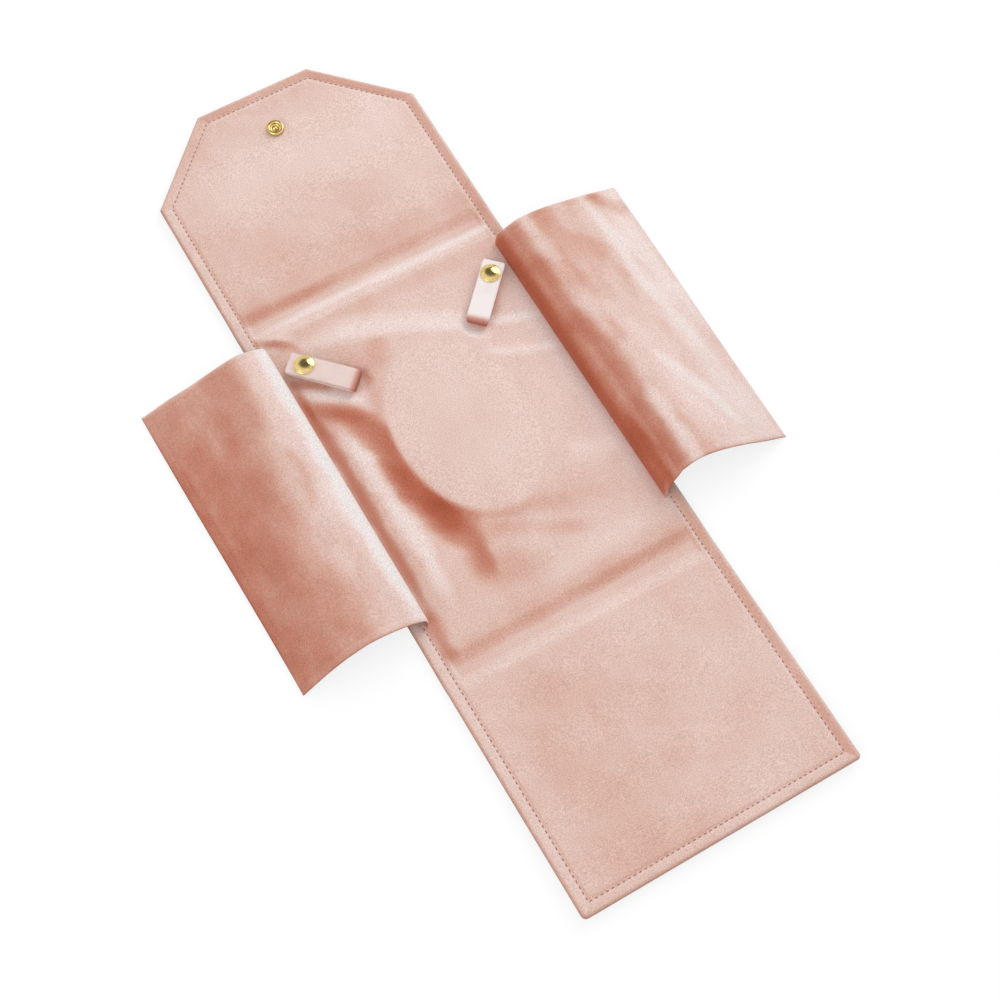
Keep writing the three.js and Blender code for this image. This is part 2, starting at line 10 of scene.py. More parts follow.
import bpy
import numpy as np
from mathutils import Matrix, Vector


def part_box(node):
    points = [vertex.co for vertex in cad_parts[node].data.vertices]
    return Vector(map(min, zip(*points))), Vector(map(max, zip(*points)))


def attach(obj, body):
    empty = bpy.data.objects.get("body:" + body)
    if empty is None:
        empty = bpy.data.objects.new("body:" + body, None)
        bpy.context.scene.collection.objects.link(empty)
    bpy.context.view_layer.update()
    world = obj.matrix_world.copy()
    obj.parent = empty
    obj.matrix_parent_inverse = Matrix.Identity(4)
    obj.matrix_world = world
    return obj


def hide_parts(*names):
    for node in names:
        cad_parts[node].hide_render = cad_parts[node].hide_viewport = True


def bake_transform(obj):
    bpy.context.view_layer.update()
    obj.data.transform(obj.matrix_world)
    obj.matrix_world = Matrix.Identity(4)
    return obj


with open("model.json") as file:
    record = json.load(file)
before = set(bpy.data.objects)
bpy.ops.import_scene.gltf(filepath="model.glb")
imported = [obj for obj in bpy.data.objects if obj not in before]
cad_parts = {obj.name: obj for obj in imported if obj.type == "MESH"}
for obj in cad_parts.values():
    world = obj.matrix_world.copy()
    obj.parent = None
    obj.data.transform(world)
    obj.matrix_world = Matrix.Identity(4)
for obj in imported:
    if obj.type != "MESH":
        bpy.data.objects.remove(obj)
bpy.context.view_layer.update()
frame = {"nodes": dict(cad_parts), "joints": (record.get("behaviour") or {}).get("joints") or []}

MM = 0.001
TINY = 1e-6
SIDES = {"left": -1, "right": 1}


# Places taken from the frame

def joint_place(name):
    """Where a joint's axis stands at rest."""
    place = next(joint["pos_m"] for joint in frame["joints"] if joint["name"] == name)
    return np.array(place) / MM


def node_box(name):
    """Lowest and highest corner of a CAD node at rest."""
    low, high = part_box(name)
    return np.array(low) / MM, np.array(high) / MM


def box_centre(name):
    """Middle of a CAD node's box at rest."""
    low, high = node_box(name)
    return (low + high) / 2


HALF_WIDTH = node_box("middle_cover")[1][0]
UPPER_EDGE = joint_place("flap_fold")[1]
FLAP_CREASE = joint_place("flap_crease")[1]
LOWER_EDGE = joint_place("front_fold")[1]
FRONT_CREASE = joint_place("front_crease")[1]
UPPER_SPLIT = (UPPER_EDGE + FLAP_CREASE) / 2
LOWER_SPLIT = (LOWER_EDGE + FRONT_CREASE) / 2
FLAP_END = node_box("flap_cover")[1][1]
FRONT_END = node_box("front_cover")[0][1]
WING_LOW = node_box("left_wing_panel_face")[0][1]
WING_HIGH = node_box("left_wing_panel_face")[1][1]

# Panels
STRAP_SEAT = 0.1
LINING_TOP = node_box("left_strap_base")[0][2] - STRAP_SEAT
SEAM = 1.4
HEM = 4.8
EDGE_ROLL = 1.5
BORDER_PUFF = 0.12
PUFF_UNEVEN = 0.35
PUFF_LENGTH = 3.5
STITCH_DIP = 0.35
STITCH_HALF_WIDTH = 1.3
COVER_DIP_SHARE = 0.5
FLAP_CUT_WIDTH = 34
FLAP_CUT_LENGTH = 33.3
FRONT_CORNER_RADIUS = 2
FRONT_CORNER_POINTS = 5
FLAP_TILT = math.radians(1.0486)
FRONT_TILT = math.radians(1.1998)
TILT_SOFTNESS = 1.5
SPINE_DIP = 0.9
SPINE_UNDER_DIP = 0.25
SPINE_FLAT = 1.5
SPINE_REACH = 8.5
SPINE_AT_HEM = 0.45
SPINE_HEM_FADE = 3
MIDDLE_SPLIT = -70

# How strongly painted shade and painted highlight show a slope, and how mottled it is
HEM_GAIN = 0.3
PANEL_GAIN = 1.0
MIDDLE_GAIN = 1.15
WING_GAIN = 0.8
PANEL_SLACK = 0.55
WING_SLACK = 1.25
WING_BIAS = -0.06
PAD_BIAS = 0.07
# Painted shade and painted highlight on the hems, by which way they face the lit side
HEM_BIAS = -0.055
HEM_FACING_SHADE = 0.125
HEM_TONE_MIDDLE = 2.4
HEM_TONE_REACH = 2.8
HEM_GAIN_FADE = 4
MIDDLE_GAIN_FADE = 10
STROKE_EDGE = 8

# Oval pad under the lining of the middle panel
PAD_CENTRE = (0, 4.65)
PAD_HALF_WIDTH = 28
PAD_HALF_LENGTH = 41
PAD_RISE = 2.0
PAD_CROWN = 0.3
PAD_RIM_ROUND = 1.5
PAD_SHARP_SLOPE = 14
PAD_SOFT_SLOPE = 34
PAD_SHARP_POWER = 2.0
PAD_SOFT_POWER = 1.3
PAD_CORE = 0.3
PAD_TONE_EDGE = 1.03
PAD_TONE_FADE = 0.08

# How the slack of the middle lining dies out: at the straps, at the hems and towards the folds
STRAP_BED = 4
STRAP_BED_FADE = 4
STRAP_BED_SHARE = 0.3
SLACK_HEM_FADE = 6
SLACK_FOLD_FADE = 8
SLACK_FOLD_SHARE = 0.3

# Grid steps of the cloth meshes
ROLL_STEPS = 6
HEM_STEP = 0.55
FIELD_STEP = 1.25
SPINE_STEP = 0.6
HEM_ZONE = 8.3
CURVE_STEPS = 24
PATH_STEPS = 6


# Curves and falls

# Waves that make cloth uneven: size, pace and start
WAVES = ((0.5, 0.71, 0.3), (0.3, 1.37, 1.9), (0.2, 2.53, 4.1))


def smooth(t):
    """Goes from 0 to 1 with level ends as t does."""
    t = np.clip(t, 0, 1)
    return t * t * (3 - 2 * t)


def bell(t):
    """1 at 0, falling softly to 0 at 1 and beyond."""
    t = np.clip(np.abs(t), 0, 1)
    return (1 - t * t) ** 2


def waver(t):
    """A slow wave with no plain repeat, between about -1 and 1."""
    return sum(size * np.sin(pace * t + start) for size, pace, start in WAVES)


def rounded(gap, radius):
    """Goes from 0 at an edge to 1 a radius in from it, on a quarter circle."""
    return np.sqrt(1 - (1 - np.clip(gap / radius, 0, 1)) ** 2)


def rim_steps(radius, count):
    """Distances in from an edge, from 0 to a radius, that share out a quarter circle."""
    return radius * (1 - np.cos(np.linspace(0, math.pi / 2, count)))


def above_zero(value, softness):
    """The value itself where it is well above 0, and 0 well below, with a soft bend between."""
    return (value + np.sqrt(value ** 2 + softness ** 2)) / 2


def unit(vector):
    """The direction of a vector."""
    return np.asarray(vector) / np.linalg.norm(vector)


def step_lengths(path):
    """Lengths of the straight steps of a path."""
    return np.linalg.norm(np.diff(path, axis=0), axis=1)


def spline(points, fractions):
    """Points at these fractions of the length of a smooth curve through the given points."""
    p = np.array(points, float)
    p = np.vstack([2 * p[0] - p[1], p, 2 * p[-1] - p[-2]])
    t = np.linspace(0, 1, CURVE_STEPS, endpoint=False)[:, None]
    runs = []
    for a, b, c, d in zip(p, p[1:], p[2:], p[3:]):
        square = 2 * a - 5 * b + 4 * c - d
        cube = 3 * b - a - 3 * c + d
        runs.append((2 * b + (c - a) * t + square * t ** 2 + cube * t ** 3) / 2)
    fine = np.vstack(runs + [p[-2:-1]])
    length = np.concatenate([[0], np.cumsum(step_lengths(fine))])
    spots = np.asarray(fractions) * length[-1]
    return np.stack([np.interp(spots, length, column) for column in fine.T], axis=1)


def crest_path(points):
    """A smooth path through a few points."""
    return spline(points, np.linspace(0, 1, PATH_STEPS * len(points)))


def along_path(x, y, path):
    """Distance of each point to a path, its place as a share of the path, and if it is on the left."""
    best = np.full(np.shape(x), np.inf)
    place = np.zeros(np.shape(x))
    left = np.zeros(np.shape(x), bool)
    run = 0
    for (ax, ay), (bx, by) in zip(path, path[1:]):
        length = math.hypot(bx - ax, by - ay)
        t = np.clip(((x - ax) * (bx - ax) + (y - ay) * (by - ay)) / length ** 2, 0, 1)
        gap = np.hypot(x - ax - t * (bx - ax), y - ay - t * (by - ay))
        nearer = gap < best
        place = np.where(nearer, run + t * length, place)
        left = np.where(nearer, (bx - ax) * (y - ay) - (by - ay) * (x - ax) > 0, left)
        best = np.where(nearer, gap, best)
        run += length
    return best, place / run, left


def arc(centre, radius, start, end, count):
    """Points of an arc, with its angles in degrees."""
    angles = np.radians(np.linspace(start, end, count))
    return [(centre[0] + radius * math.cos(a), centre[1] + radius * math.sin(a)) for a in angles]


def inset_path(path, distance):
    """An open path moved in to its left by a distance, with mitred corners."""
    p = np.array(path, float)
    run = np.diff(p, axis=0)
    run /= np.linalg.norm(run, axis=1)[:, None]
    left = np.stack([-run[:, 1], run[:, 0]], axis=1)
    before = np.vstack([left[:1], left])
    after = np.vstack([left, left[-1:]])
    share = 1 + np.sum(before * after, axis=1)
    return p + distance * (before + after) / share[:, None]


def steps_from_edge(length):
    """Distances in from a sewn edge: fine round the rolled edge and the stitch line, then wider."""
    roll = rim_steps(EDGE_ROLL, ROLL_STEPS)
    hem = np.linspace(EDGE_ROLL, HEM_ZONE, math.ceil((HEM_ZONE - EDGE_ROLL) / HEM_STEP) + 1)
    field = np.linspace(HEM_ZONE, length, math.ceil((length - HEM_ZONE) / FIELD_STEP) + 1)
    return np.concatenate([roll, hem[1:], field[1:]])


def evenly(low, high, step):
    """Places from low to high, no more than a step apart."""
    return np.linspace(low, high, math.ceil((high - low) / step) + 1)


# Meshes

# Direction in plan towards the lit side: cloth leaning this way is painted pale, and cloth leaning away
# is painted with deep shade. The pad's slope is also soft on this side.
LIT_SIDE_DIRECTION = np.array([0.8, 0.6, 0.0])


def grid_normals(points):
    """Unit normals of a grid of points."""
    across = np.gradient(points, axis=1)
    along = np.gradient(points, axis=0)
    normals = np.cross(across, along)
    return normals / np.maximum(np.linalg.norm(normals, axis=2, keepdims=True), TINY)


def new_piece(name, vertices, faces, material):
    """A smooth mesh object from vertices in millimetres."""
    mesh = bpy.data.meshes.new(name)
    mesh.from_pydata((np.asarray(vertices) * MM).tolist(), [], faces)
    mesh.polygons.foreach_set("use_smooth", [True] * len(mesh.polygons))
    mesh.materials.append(material)
    mesh.validate()
    mesh.update()
    piece = bpy.data.objects.new(name, mesh)
    bpy.context.scene.collection.objects.link(piece)
    return piece


def point_values(piece, name, values):
    """Stores one number or one vector per vertex for the materials."""
    values = np.asarray(values, float)
    kind, key = ("FLOAT", "value") if values.ndim == 1 else ("FLOAT_VECTOR", "vector")
    attribute = piece.data.attributes.new(name, kind, "POINT")
    attribute.data.foreach_set(key, values.ravel())


BORDERS = {
    "first_row": np.s_[0, :],
    "last_row": np.s_[-1, :],
    "first_column": np.s_[:, 0],
    "last_column": np.s_[:, -1],
}


def shell(name, top, bottom, material, cut=(), mirrored=False,
          gain=1.0, bias=0.0, under_bias=0.0, slack=1.0):
    """A closed cloth mesh from two grids of points. Borders are sewn together, or walled where cut.

    Each vertex keeps its place at rest, a painted light and shade by how far the surface there leans
    towards the lit side, strengthened by a gain and moved by a bias of its own on each face, and how
    mottled the cloth is.
    """
    loose = np.ones(top.shape[:2], bool)
    for border, where in BORDERS.items():
        if border not in cut:
            loose[where] = False
    upper = np.arange(loose.size).reshape(loose.shape)
    lower = upper.copy()
    lower[loose] = loose.size + np.arange(loose.sum())

    faces = []
    for ids, turned_over in ((upper, False), (lower, True)):
        quads = np.stack([ids[:-1, :-1], ids[:-1, 1:], ids[1:, 1:], ids[1:, :-1]], axis=-1)
        quads = quads.reshape(-1, 4)
        faces += (quads[:, ::-1] if turned_over else quads).tolist()
    for border in cut:
        a, b = upper[BORDERS[border]], lower[BORDERS[border]]
        wall = np.stack([b[:-1], b[1:], a[1:], a[:-1]], axis=-1)
        if border in ("last_row", "first_column"):
            wall = wall[:, ::-1]
        faces += [list(dict.fromkeys(quad)) for quad in wall.tolist()]
    if mirrored:
        faces = [face[::-1] for face in faces]

    sign = -1 if mirrored else 1
    # Painted light and shade on both faces: paler where the surface leans towards the lit side, deeper
    # where it leans away.
    tone_and_painted_light = sign * grid_normals(top) @ LIT_SIDE_DIRECTION * gain + bias
    under_tone_and_painted_light = -sign * grid_normals(bottom) @ LIT_SIDE_DIRECTION * gain + under_bias
    points = np.concatenate([top.reshape(-1, 3), bottom[loose]])
    piece = new_piece(name, points, faces, material)
    point_values(piece, "tone_and_painted_light", np.concatenate([tone_and_painted_light.ravel(), under_tone_and_painted_light[loose]]))
    point_values(piece, "slack", np.full(len(points), slack))
    point_values(piece, "rest", points * MM)
    mark_cut_edges(piece, [ids[BORDERS[border]] for border in cut for ids in (upper, lower)])
    return piece


def mark_cut_edges(piece, lines):
    """Makes the rims of the walls sharp, so that neighbouring cloth shades as one surface."""
    mesh = piece.data
    ends = np.empty(2 * len(mesh.edges), int)
    mesh.edges.foreach_get("vertices", ends)
    ends = ends.reshape(-1, 2)
    sharp = np.zeros(len(ends), bool)
    for line in lines:
        sharp |= np.isin(ends, line).all(axis=1)
    attribute = mesh.attributes.new("sharp_edge", "BOOLEAN", "EDGE")
    attribute.data.foreach_set("value", sharp)


TURNED_SIDES = 56


def ring_faces(rings):
    """Faces that join each ring of vertex numbers to the next."""
    faces = []
    for low, high in zip(rings, rings[1:]):
        for k in range(len(low)):
            after = (k + 1) % len(low)
            faces.append(list(dict.fromkeys((low[k], low[after], high[after], high[k]))))
    return faces


def turned(name, profile, place, material, tilt, over):
    """A round piece from a profile of radius and height, standing at a place and tilted about x."""
    angles = 2 * math.pi * np.arange(TURNED_SIDES) / TURNED_SIDES
    vertices, rings = [], []
    for radius, height in profile:
        first = len(vertices)
        if radius == 0:
            rings.append([first] * TURNED_SIDES)
            vertices.append((0, 0, height))
        else:
            rings.append(range(first, first + TURNED_SIDES))
            vertices += [(radius * math.cos(a), radius * math.sin(a), height) for a in angles]
    turn = Matrix.Rotation(tilt + (math.pi if over else 0), 3, "X")
    points = np.array(vertices) @ np.array(turn).T + np.array(place)
    return new_piece(name, points, ring_faces(rings), material)


# Materials

def linear(red, green, blue):
    """A colour as it looks on screen, 0 to 255, as scene-linear values by the sRGB curve."""
    shares = [value / 255 for value in (red, green, blue)]
    return [s / 12.92 if s <= 0.04045 else ((s + 0.055) / 1.055) ** 2.4 for s in shares] + [1]


class Nodes:
    """Short ways to add and join the shader nodes of a material or a world."""

    def __init__(self, name, world=False):
        owners = bpy.data.worlds if world else bpy.data.materials
        self.owner = owners.new(name)
        self.owner.use_nodes = True
        self.tree = self.owner.node_tree
        self.shader = self.tree.nodes["Background" if world else "Principled BSDF"]

    def add(self, kind, **settings):
        node = self.tree.nodes.new("ShaderNode" + kind)
        for key, value in settings.items():
            setattr(node, key, value)
        return node

    def feed(self, node, **values):
        """Joins values to a node's sockets, by name with _ for a space, and gives its outputs."""
        for key, value in values.items():
            self.join(value, node.inputs[key.replace("_", " ")])
        return node.outputs

    def join(self, value, socket):
        """Links an output to a socket, or writes a constant on it."""
        if isinstance(value, bpy.types.NodeSocket):
            self.tree.links.new(value, socket)
        else:
            socket.default_value = value

    def set(self, **values):
        """Values of the shader itself."""
        self.feed(self.shader, **values)

    def math(self, operation, *values):
        node = self.add("Math", operation=operation)
        for value, socket in zip(values, node.inputs):
            self.join(value, socket)
        return node.outputs[0]

    def vector_math(self, operation, first, second):
        node = self.add("VectorMath", operation=operation)
        self.join(first, node.inputs[0])
        self.join(second, node.inputs["Scale" if operation == "SCALE" else 1])
        return node.outputs

    def swing(self, noise, amount, base):
        """A base value moved up and down by a noise."""
        return self.math("MULTIPLY_ADD", self.math("SUBTRACT", noise, 0.5), amount, base)

    def attribute(self, name, output="Fac"):
        return self.add("Attribute", attribute_name=name).outputs[output]

    def place(self):
        """Places in the object's own space, for pieces that keep their shape."""
        return self.add("TexCoord").outputs["Object"]

    def noise(self, vector, size, detail=2.0, roughness=0.5):
        """Noise whose marks are about a given size in millimetres."""
        node = self.add("TexNoise")
        scale = 1 / (size * MM)
        return self.feed(node, Vector=vector, Scale=scale, Detail=detail, Roughness=roughness)["Fac"]

    def ramp(self, fac, stops):
        node = self.add("ValToRGB")
        elements = node.color_ramp.elements
        while len(elements) < len(stops):
            elements.new(0.5)
        for element, (position, colour) in zip(elements, stops):
            element.position = position
            element.color = colour
        return self.feed(node, Fac=fac)["Color"]

    def two_tone(self, marks, deep, pale, low=0.3, high=0.7):
        """A base colour between two shades, by marks."""
        self.set(Base_Color=self.ramp(marks, [(low, linear(*deep)), (high, linear(*pale))]))

    def tint(self, colour, factor):
        """A colour made lighter or darker by a factor."""
        return self.vector_math("SCALE", colour, factor)[0]

    def bump(self, height, depth, strength):
        """Surface relief of a depth in millimetres."""
        relief = self.feed(self.add("Bump"), Height=height, Distance=depth * MM, Strength=strength)
        self.set(Normal=relief["Normal"])

    def seen_directly(self):
        """1 for rays that show the background itself: from the camera, off metal or through glass."""
        path = self.add("LightPath")
        total = path.outputs["Is Camera Ray"]
        for name in ("Is Glossy Ray", "Is Transmission Ray"):
            total = self.math("MAXIMUM", total, path.outputs[name])
        return total


# Colour of the pile by its painted light and shade with random mottle, from the deep painted shade to
# the pale painted highlight
PAINTED_LIGHT_STOPS = (
    (-0.95, linear(166, 84, 58)),
    (-0.62, linear(183, 103, 79)),
    (-0.40, linear(199, 133, 112)),
    (-0.24, linear(209, 154, 136)),
    (-0.10, linear(220, 178, 163)),
    (0.02, linear(229, 198, 187)),
    (0.15, linear(235, 209, 201)),
    (0.30, linear(240, 220, 214)),
    (0.55, linear(242, 228, 225)),
    (0.80, linear(242, 235, 233)),
)
CLOUD_LEAN = 0.32
BRUSH_LEAN = 0.22
BRUSH_STRETCH = (1.0, 0.45, 1.0)
PILE_SHADE = 1.05


def velvet_material():
    """Short pile painted pale where it leans to the lit side and deep where it leans away: painted
    light and shade, with random mottle and fine grain.
    """
    n = Nodes("blush_velvet")
    rest = n.attribute("rest", "Vector")
    cloud = n.noise(rest, size=24)
    along_nap = n.vector_math("MULTIPLY", rest, BRUSH_STRETCH)[0]
    brush = n.noise(along_nap, size=7, detail=3.0, roughness=0.6)
    pile = n.noise(rest, size=0.48, roughness=0.6)
    mottle = n.swing(brush, BRUSH_LEAN, n.swing(cloud, CLOUD_LEAN, 0.0))
    # Random mottle added to the painted light and shade kept on the vertices
    tone_and_painted_light = n.math("MULTIPLY_ADD", mottle, n.attribute("slack"), n.attribute("tone_and_painted_light"))
    place = n.math("MULTIPLY_ADD", tone_and_painted_light, 0.5, 0.5)
    colour = n.ramp(place, [(0.5 + stop / 2, shade) for stop, shade in PAINTED_LIGHT_STOPS])
    n.bump(pile, depth=0.2, strength=0.5)
    n.set(Base_Color=n.tint(colour, n.swing(pile, PILE_SHADE, 1.0)), Roughness=0.95,
          Specular_IOR_Level=0.1, Sheen_Weight=0.12, Sheen_Roughness=0.45,
          Sheen_Tint=(1.0, 0.86, 0.82, 1))
    return n.owner


# Colour of the ribbon by how far it has turned away at its fold: painted shade, deepening round the
# fold
RIBBON_FOLD_SHADE_STOPS = (
    (0.0, linear(246, 237, 235)),
    (0.18, linear(233, 208, 200)),
    (0.45, linear(212, 157, 142)),
    (1.0, linear(168, 90, 70)),
)
RIBBON_MOTTLE = 0.2
FUZZ_SHADE = 0.12
RIB_PITCH = 0.62
RIB_SHADE = 0.02
RIB_RELIEF = 0.3


def ribbon_material():
    """Pale strap cloth with fine ribs along its length."""
    n = Nodes("strap_ribbon")
    rest = n.attribute("rest", "Vector")
    ribs = n.math("SINE", n.math("MULTIPLY", n.attribute("across"), 2 * math.pi / RIB_PITCH))
    fuzz = n.noise(rest, size=0.5, roughness=0.6)
    # Painted shade round the fold, with random mottle
    colour = n.ramp(n.swing(n.noise(rest, size=7), RIBBON_MOTTLE, n.attribute("fold")), RIBBON_FOLD_SHADE_STOPS)
    grain = n.math("MULTIPLY_ADD", ribs, RIB_SHADE, n.swing(fuzz, FUZZ_SHADE, 1.0))
    n.bump(n.math("MULTIPLY_ADD", ribs, RIB_RELIEF, fuzz), depth=0.12, strength=0.4)
    n.set(Base_Color=n.tint(colour, grain), Roughness=0.75, Sheen_Weight=0.2, Sheen_Roughness=0.4,
          Sheen_Tint=(1.0, 0.92, 0.9, 1))
    return n.owner


BRASS_POLISH = 0.08
BRASS_WEAR = 0.14


def brass_material():
    """Polished pale brass with faint handling marks."""
    n = Nodes("polished_brass")
    place = n.place()
    marks = n.noise(place, size=1.6, detail=3.0, roughness=0.6)
    n.two_tone(marks, deep=(214, 180, 108), pale=(240, 214, 150))
    n.bump(n.noise(place, size=0.2), depth=0.01, strength=0.15)
    n.set(Metallic=1.0, Roughness=n.math("MULTIPLY_ADD", marks, BRASS_WEAR, BRASS_POLISH))
    return n.owner


def fibre_material(name, deep, pale, size, detail, roughness, depth, strength, **values):
    """Two shades and a light relief, both by the same fibres."""
    n = Nodes(name)
    fibres = n.noise(n.place(), size, detail, roughness)
    n.two_tone(fibres, deep, pale)
    n.bump(fibres, depth, strength)
    n.set(**values)
    return n.owner


FOAM_CELL = 0.7


def foam_material():
    """Soft open foam."""
    n = Nodes("open_foam")
    holes = n.feed(n.add("TexVoronoi"), Vector=n.place(), Scale=1 / (FOAM_CELL * MM))["Distance"]
    # Painted shade in the hollows of the cells, where the relief dips
    n.two_tone(holes, deep=(214, 202, 188), pale=(242, 234, 224), low=0.1, high=0.6)
    n.bump(holes, depth=0.3, strength=0.5)
    n.set(Roughness=0.95)
    return n.owner


velvet = velvet_material()
ribbon = ribbon_material()
brass = brass_material()
foam = foam_material()
thread = fibre_material("rose_thread", deep=(138, 76, 62), pale=(172, 108, 94), size=0.25, detail=2.0,
                        roughness=0.6, depth=0.08, strength=0.5, Roughness=0.6, Sheen_Weight=0.1)
board = fibre_material("pressed_card", deep=(160, 144, 122), pale=(196, 180, 156), size=2.2, detail=5.0,
                       roughness=0.65, depth=0.1, strength=0.3, Roughness=0.9)


# Panels: a cover and a lining sewn together round a board

def hem_top(inset, along):
    """Height of the lining by distance in from the sewn edge, and place along it."""
    uneven = 1 + PUFF_UNEVEN * waver(along / PUFF_LENGTH)
    puff = BORDER_PUFF * uneven * np.sin(math.pi * np.clip(inset / HEM, 0, 1))
    dip = STITCH_DIP * bell((inset - HEM) / STITCH_HALF_WIDTH)
    return SEAM + (LINING_TOP - SEAM) * rounded(inset, EDGE_ROLL) + puff - dip


def hem_bottom(inset):
    """Height of the cover's outer face by distance in from the sewn edge."""
    dip = COVER_DIP_SHARE * STITCH_DIP * bell((inset - HEM) / STITCH_HALF_WIDTH)
    return SEAM * (1 - rounded(inset, EDGE_ROLL)) + dip


def spine_dip(y, inset):
    """1 in the soft valleys where the pouch folds, 0 on the panels, and less at the hems."""
    at_hem = SPINE_AT_HEM + (1 - SPINE_AT_HEM) * smooth((inset - HEM) / SPINE_HEM_FADE)
    dip = 0
    for middle in (UPPER_SPLIT, LOWER_SPLIT):
        dip = dip + smooth((SPINE_REACH - np.abs(y - middle)) / (SPINE_REACH - SPINE_FLAT))
    return dip * at_hem


def tilt_lift(y):
    """How far the flap and the front panel rise from the table on their press studs."""
    flap_lift = math.tan(FLAP_TILT) * above_zero(y - FLAP_CREASE, TILT_SOFTNESS)
    return flap_lift + math.tan(FRONT_TILT) * above_zero(FRONT_CREASE - y, TILT_SOFTNESS)


STRAP_SNAPS = {side: box_centre(side + "_strap_cap") for side in SIDES}
STRAP_ENDS = {side: joint_place(side + "_strap_open") for side in SIDES}

# Slack of the lining: points of each crest, its half width to the left and right of them, and height
LINING_FOLDS = (
    ([(-45, 44), (-42, 22), (-41, -5), (-41, -32), (-44, -60)], 11, 11, 0.6),
    ([(-56, 54), (-45, 43.5), (-36, 37), (-29, 28), (-26, 14)], 6.5, 9.5, 1.2),
    ([(-38, 66), (-12, 59.5), (10, 50), (24, 40)], 11, 15, 0.5),
    ([(28, 41), (50, 33)], 4.5, 7, 0.3),
    ([(28, 28), (40, 22), (54, 16)], 5, 8, 0.35),
    ([(-60, 80), (-48, 75.5), (-40, 67)], 4, 4.5, 0.6),
)
FOLD_FADE = 0.35
LOWER_STEP = ([(-14, -8), (-12, -28), (-14, -44), (-22, -66)], 36, 12, 1.6)
STEP_SOFTNESS = 0.3

# Strokes of painted shade and painted highlight on the pile, with a few broad tones: points of each
# stroke, its half width to the left and right of them, and how far it moves the colour, to the pale
# side or to the deep side. The band is painted shade along the pad's steep edge, and it stops at the
# pad's rim.
PAD_EDGE_PAINTED_SHADE = (
    ([(-56, 46), (-41, 34.5), (-33, 26), (-29, 14), (-28, 2), (-26, -12), (-20, -25), (-10, -36)],
     6, 17, -0.38),
    ([(-27, -10), (-23.5, -28), (-20.5, -40), (-20.4, -50), (-22, -61)], 5, 12, -0.29),
    ([(-37, 12), (-36, -4), (-33, -18), (-29, -30), (-24, -44)], 8, 5, -0.18),
)
LINING_PAINTED_LIGHT_AND_TONE = (
    # Painted shade along the left wing's root, where the wing shades the lining, and under its lower
    # end
    ([(-50, 64), (-50, 36), (-49.2, 12), (-49.6, -12), (-49.8, -45), (-51, -68)], 3.8, 4.4, -0.38),
    ([(-51, -54), (-52, -67), (-51.5, -80)], 6, 4, -0.3),
    # Painted shade and painted highlight on the folds by the left strap
    ([(-52, 56), (-44, 49), (-36, 43)], 3.4, 3.4, -0.3),
    ([(-50, 49), (-40, 41), (-24, 32)], 3.5, 3.5, 0.14),
    ([(-60, 79), (-50, 76), (-43, 70), (-39, 63)], 3.6, 3, -0.22),
    ([(-57, 75), (-47, 69)], 3, 3, 0.12),
    # Painted highlight on the ridge above the pad, with soft painted shade below it
    ([(-44, 69), (-12, 60.5), (10, 51), (22, 43), (27, 29)], 9, 6.5, 0.24),
    ([(-10, 58), (-15, 49), (-21, 42)], 8, 8, -0.1),
    ([(-34, 74), (-28, 58), (-22, 46)], 10, 10, -0.07),
    # Painted highlights on the wrinkles right of the right strap, and the strap's painted shadow
    ([(28, 42), (40, 37.5), (54, 33)], 3.5, 3.5, 0.27),
    ([(22, 30), (38, 22), (54, 16.5)], 4, 4, 0.25),
    ([(30, 40), (37, 46), (44, 53)], 3, 3, -0.16),
    # Painted light and shade round the lower edge of the pad
    ([(28, -25), (52, -32)], 8, 8, 0.12),
    ([(-14, -33), (14, -40), (44, -48)], 5, 9, -0.05),
    ([(-18, -38), (-2, -44), (8, -50), (24, -57)], 5, 6, -0.12),
    ([(-8, -68), (14, -66), (46, -64)], 9, 9, 0.1),
    # Painted highlight on the ridge left of the pad's shaded edge
    ([(-46, 40), (-41, 15), (-40.5, 0), (-40.5, -15), (-39.5, -33), (-41, -64)], 5.5, 5.5, 0.34),
    # Painted light along the right wing's root, against the shade the wing casts there
    ([(50, 72), (50, 40), (49.5, 0), (50, -40), (50, -66)], 6.5, 7, 0.16),
    # Painted shade in the upper crease and a painted highlight on its ridge
    ([(-84, 95), (-40, 93), (10, 94), (90, 95)], 14, 6, -0.055),
    ([(-90, 87), (-52, 89), (-30, 88), (-4, 89)], 6, 4, -0.13),
    ([(-60, 80.6), (-14, 81), (20, 80.4), (90, 80)], 3.4, 3, 0.3),
    ([(-80, 72), (0, 72), (80, 70)], 6, 6, -0.05),
    # Painted shade in the lower crease
    ([(-90, -77), (0, -75), (90, -74)], 9, 8, -0.06),
    ([(2, -79), (30, -77.5), (60, -76)], 5, 4, -0.06),
    # Broad paler and darker tones on the flap and the front
    ([(46, 175), (40, 130), (36, 95)], 26, 22, 0.08),
    ([(-24, -80), (-26, -130), (-24, -205)], 46, 40, -0.065),
    ([(-50, 148), (0, 146), (60, 150)], 36, 30, 0.13),
)
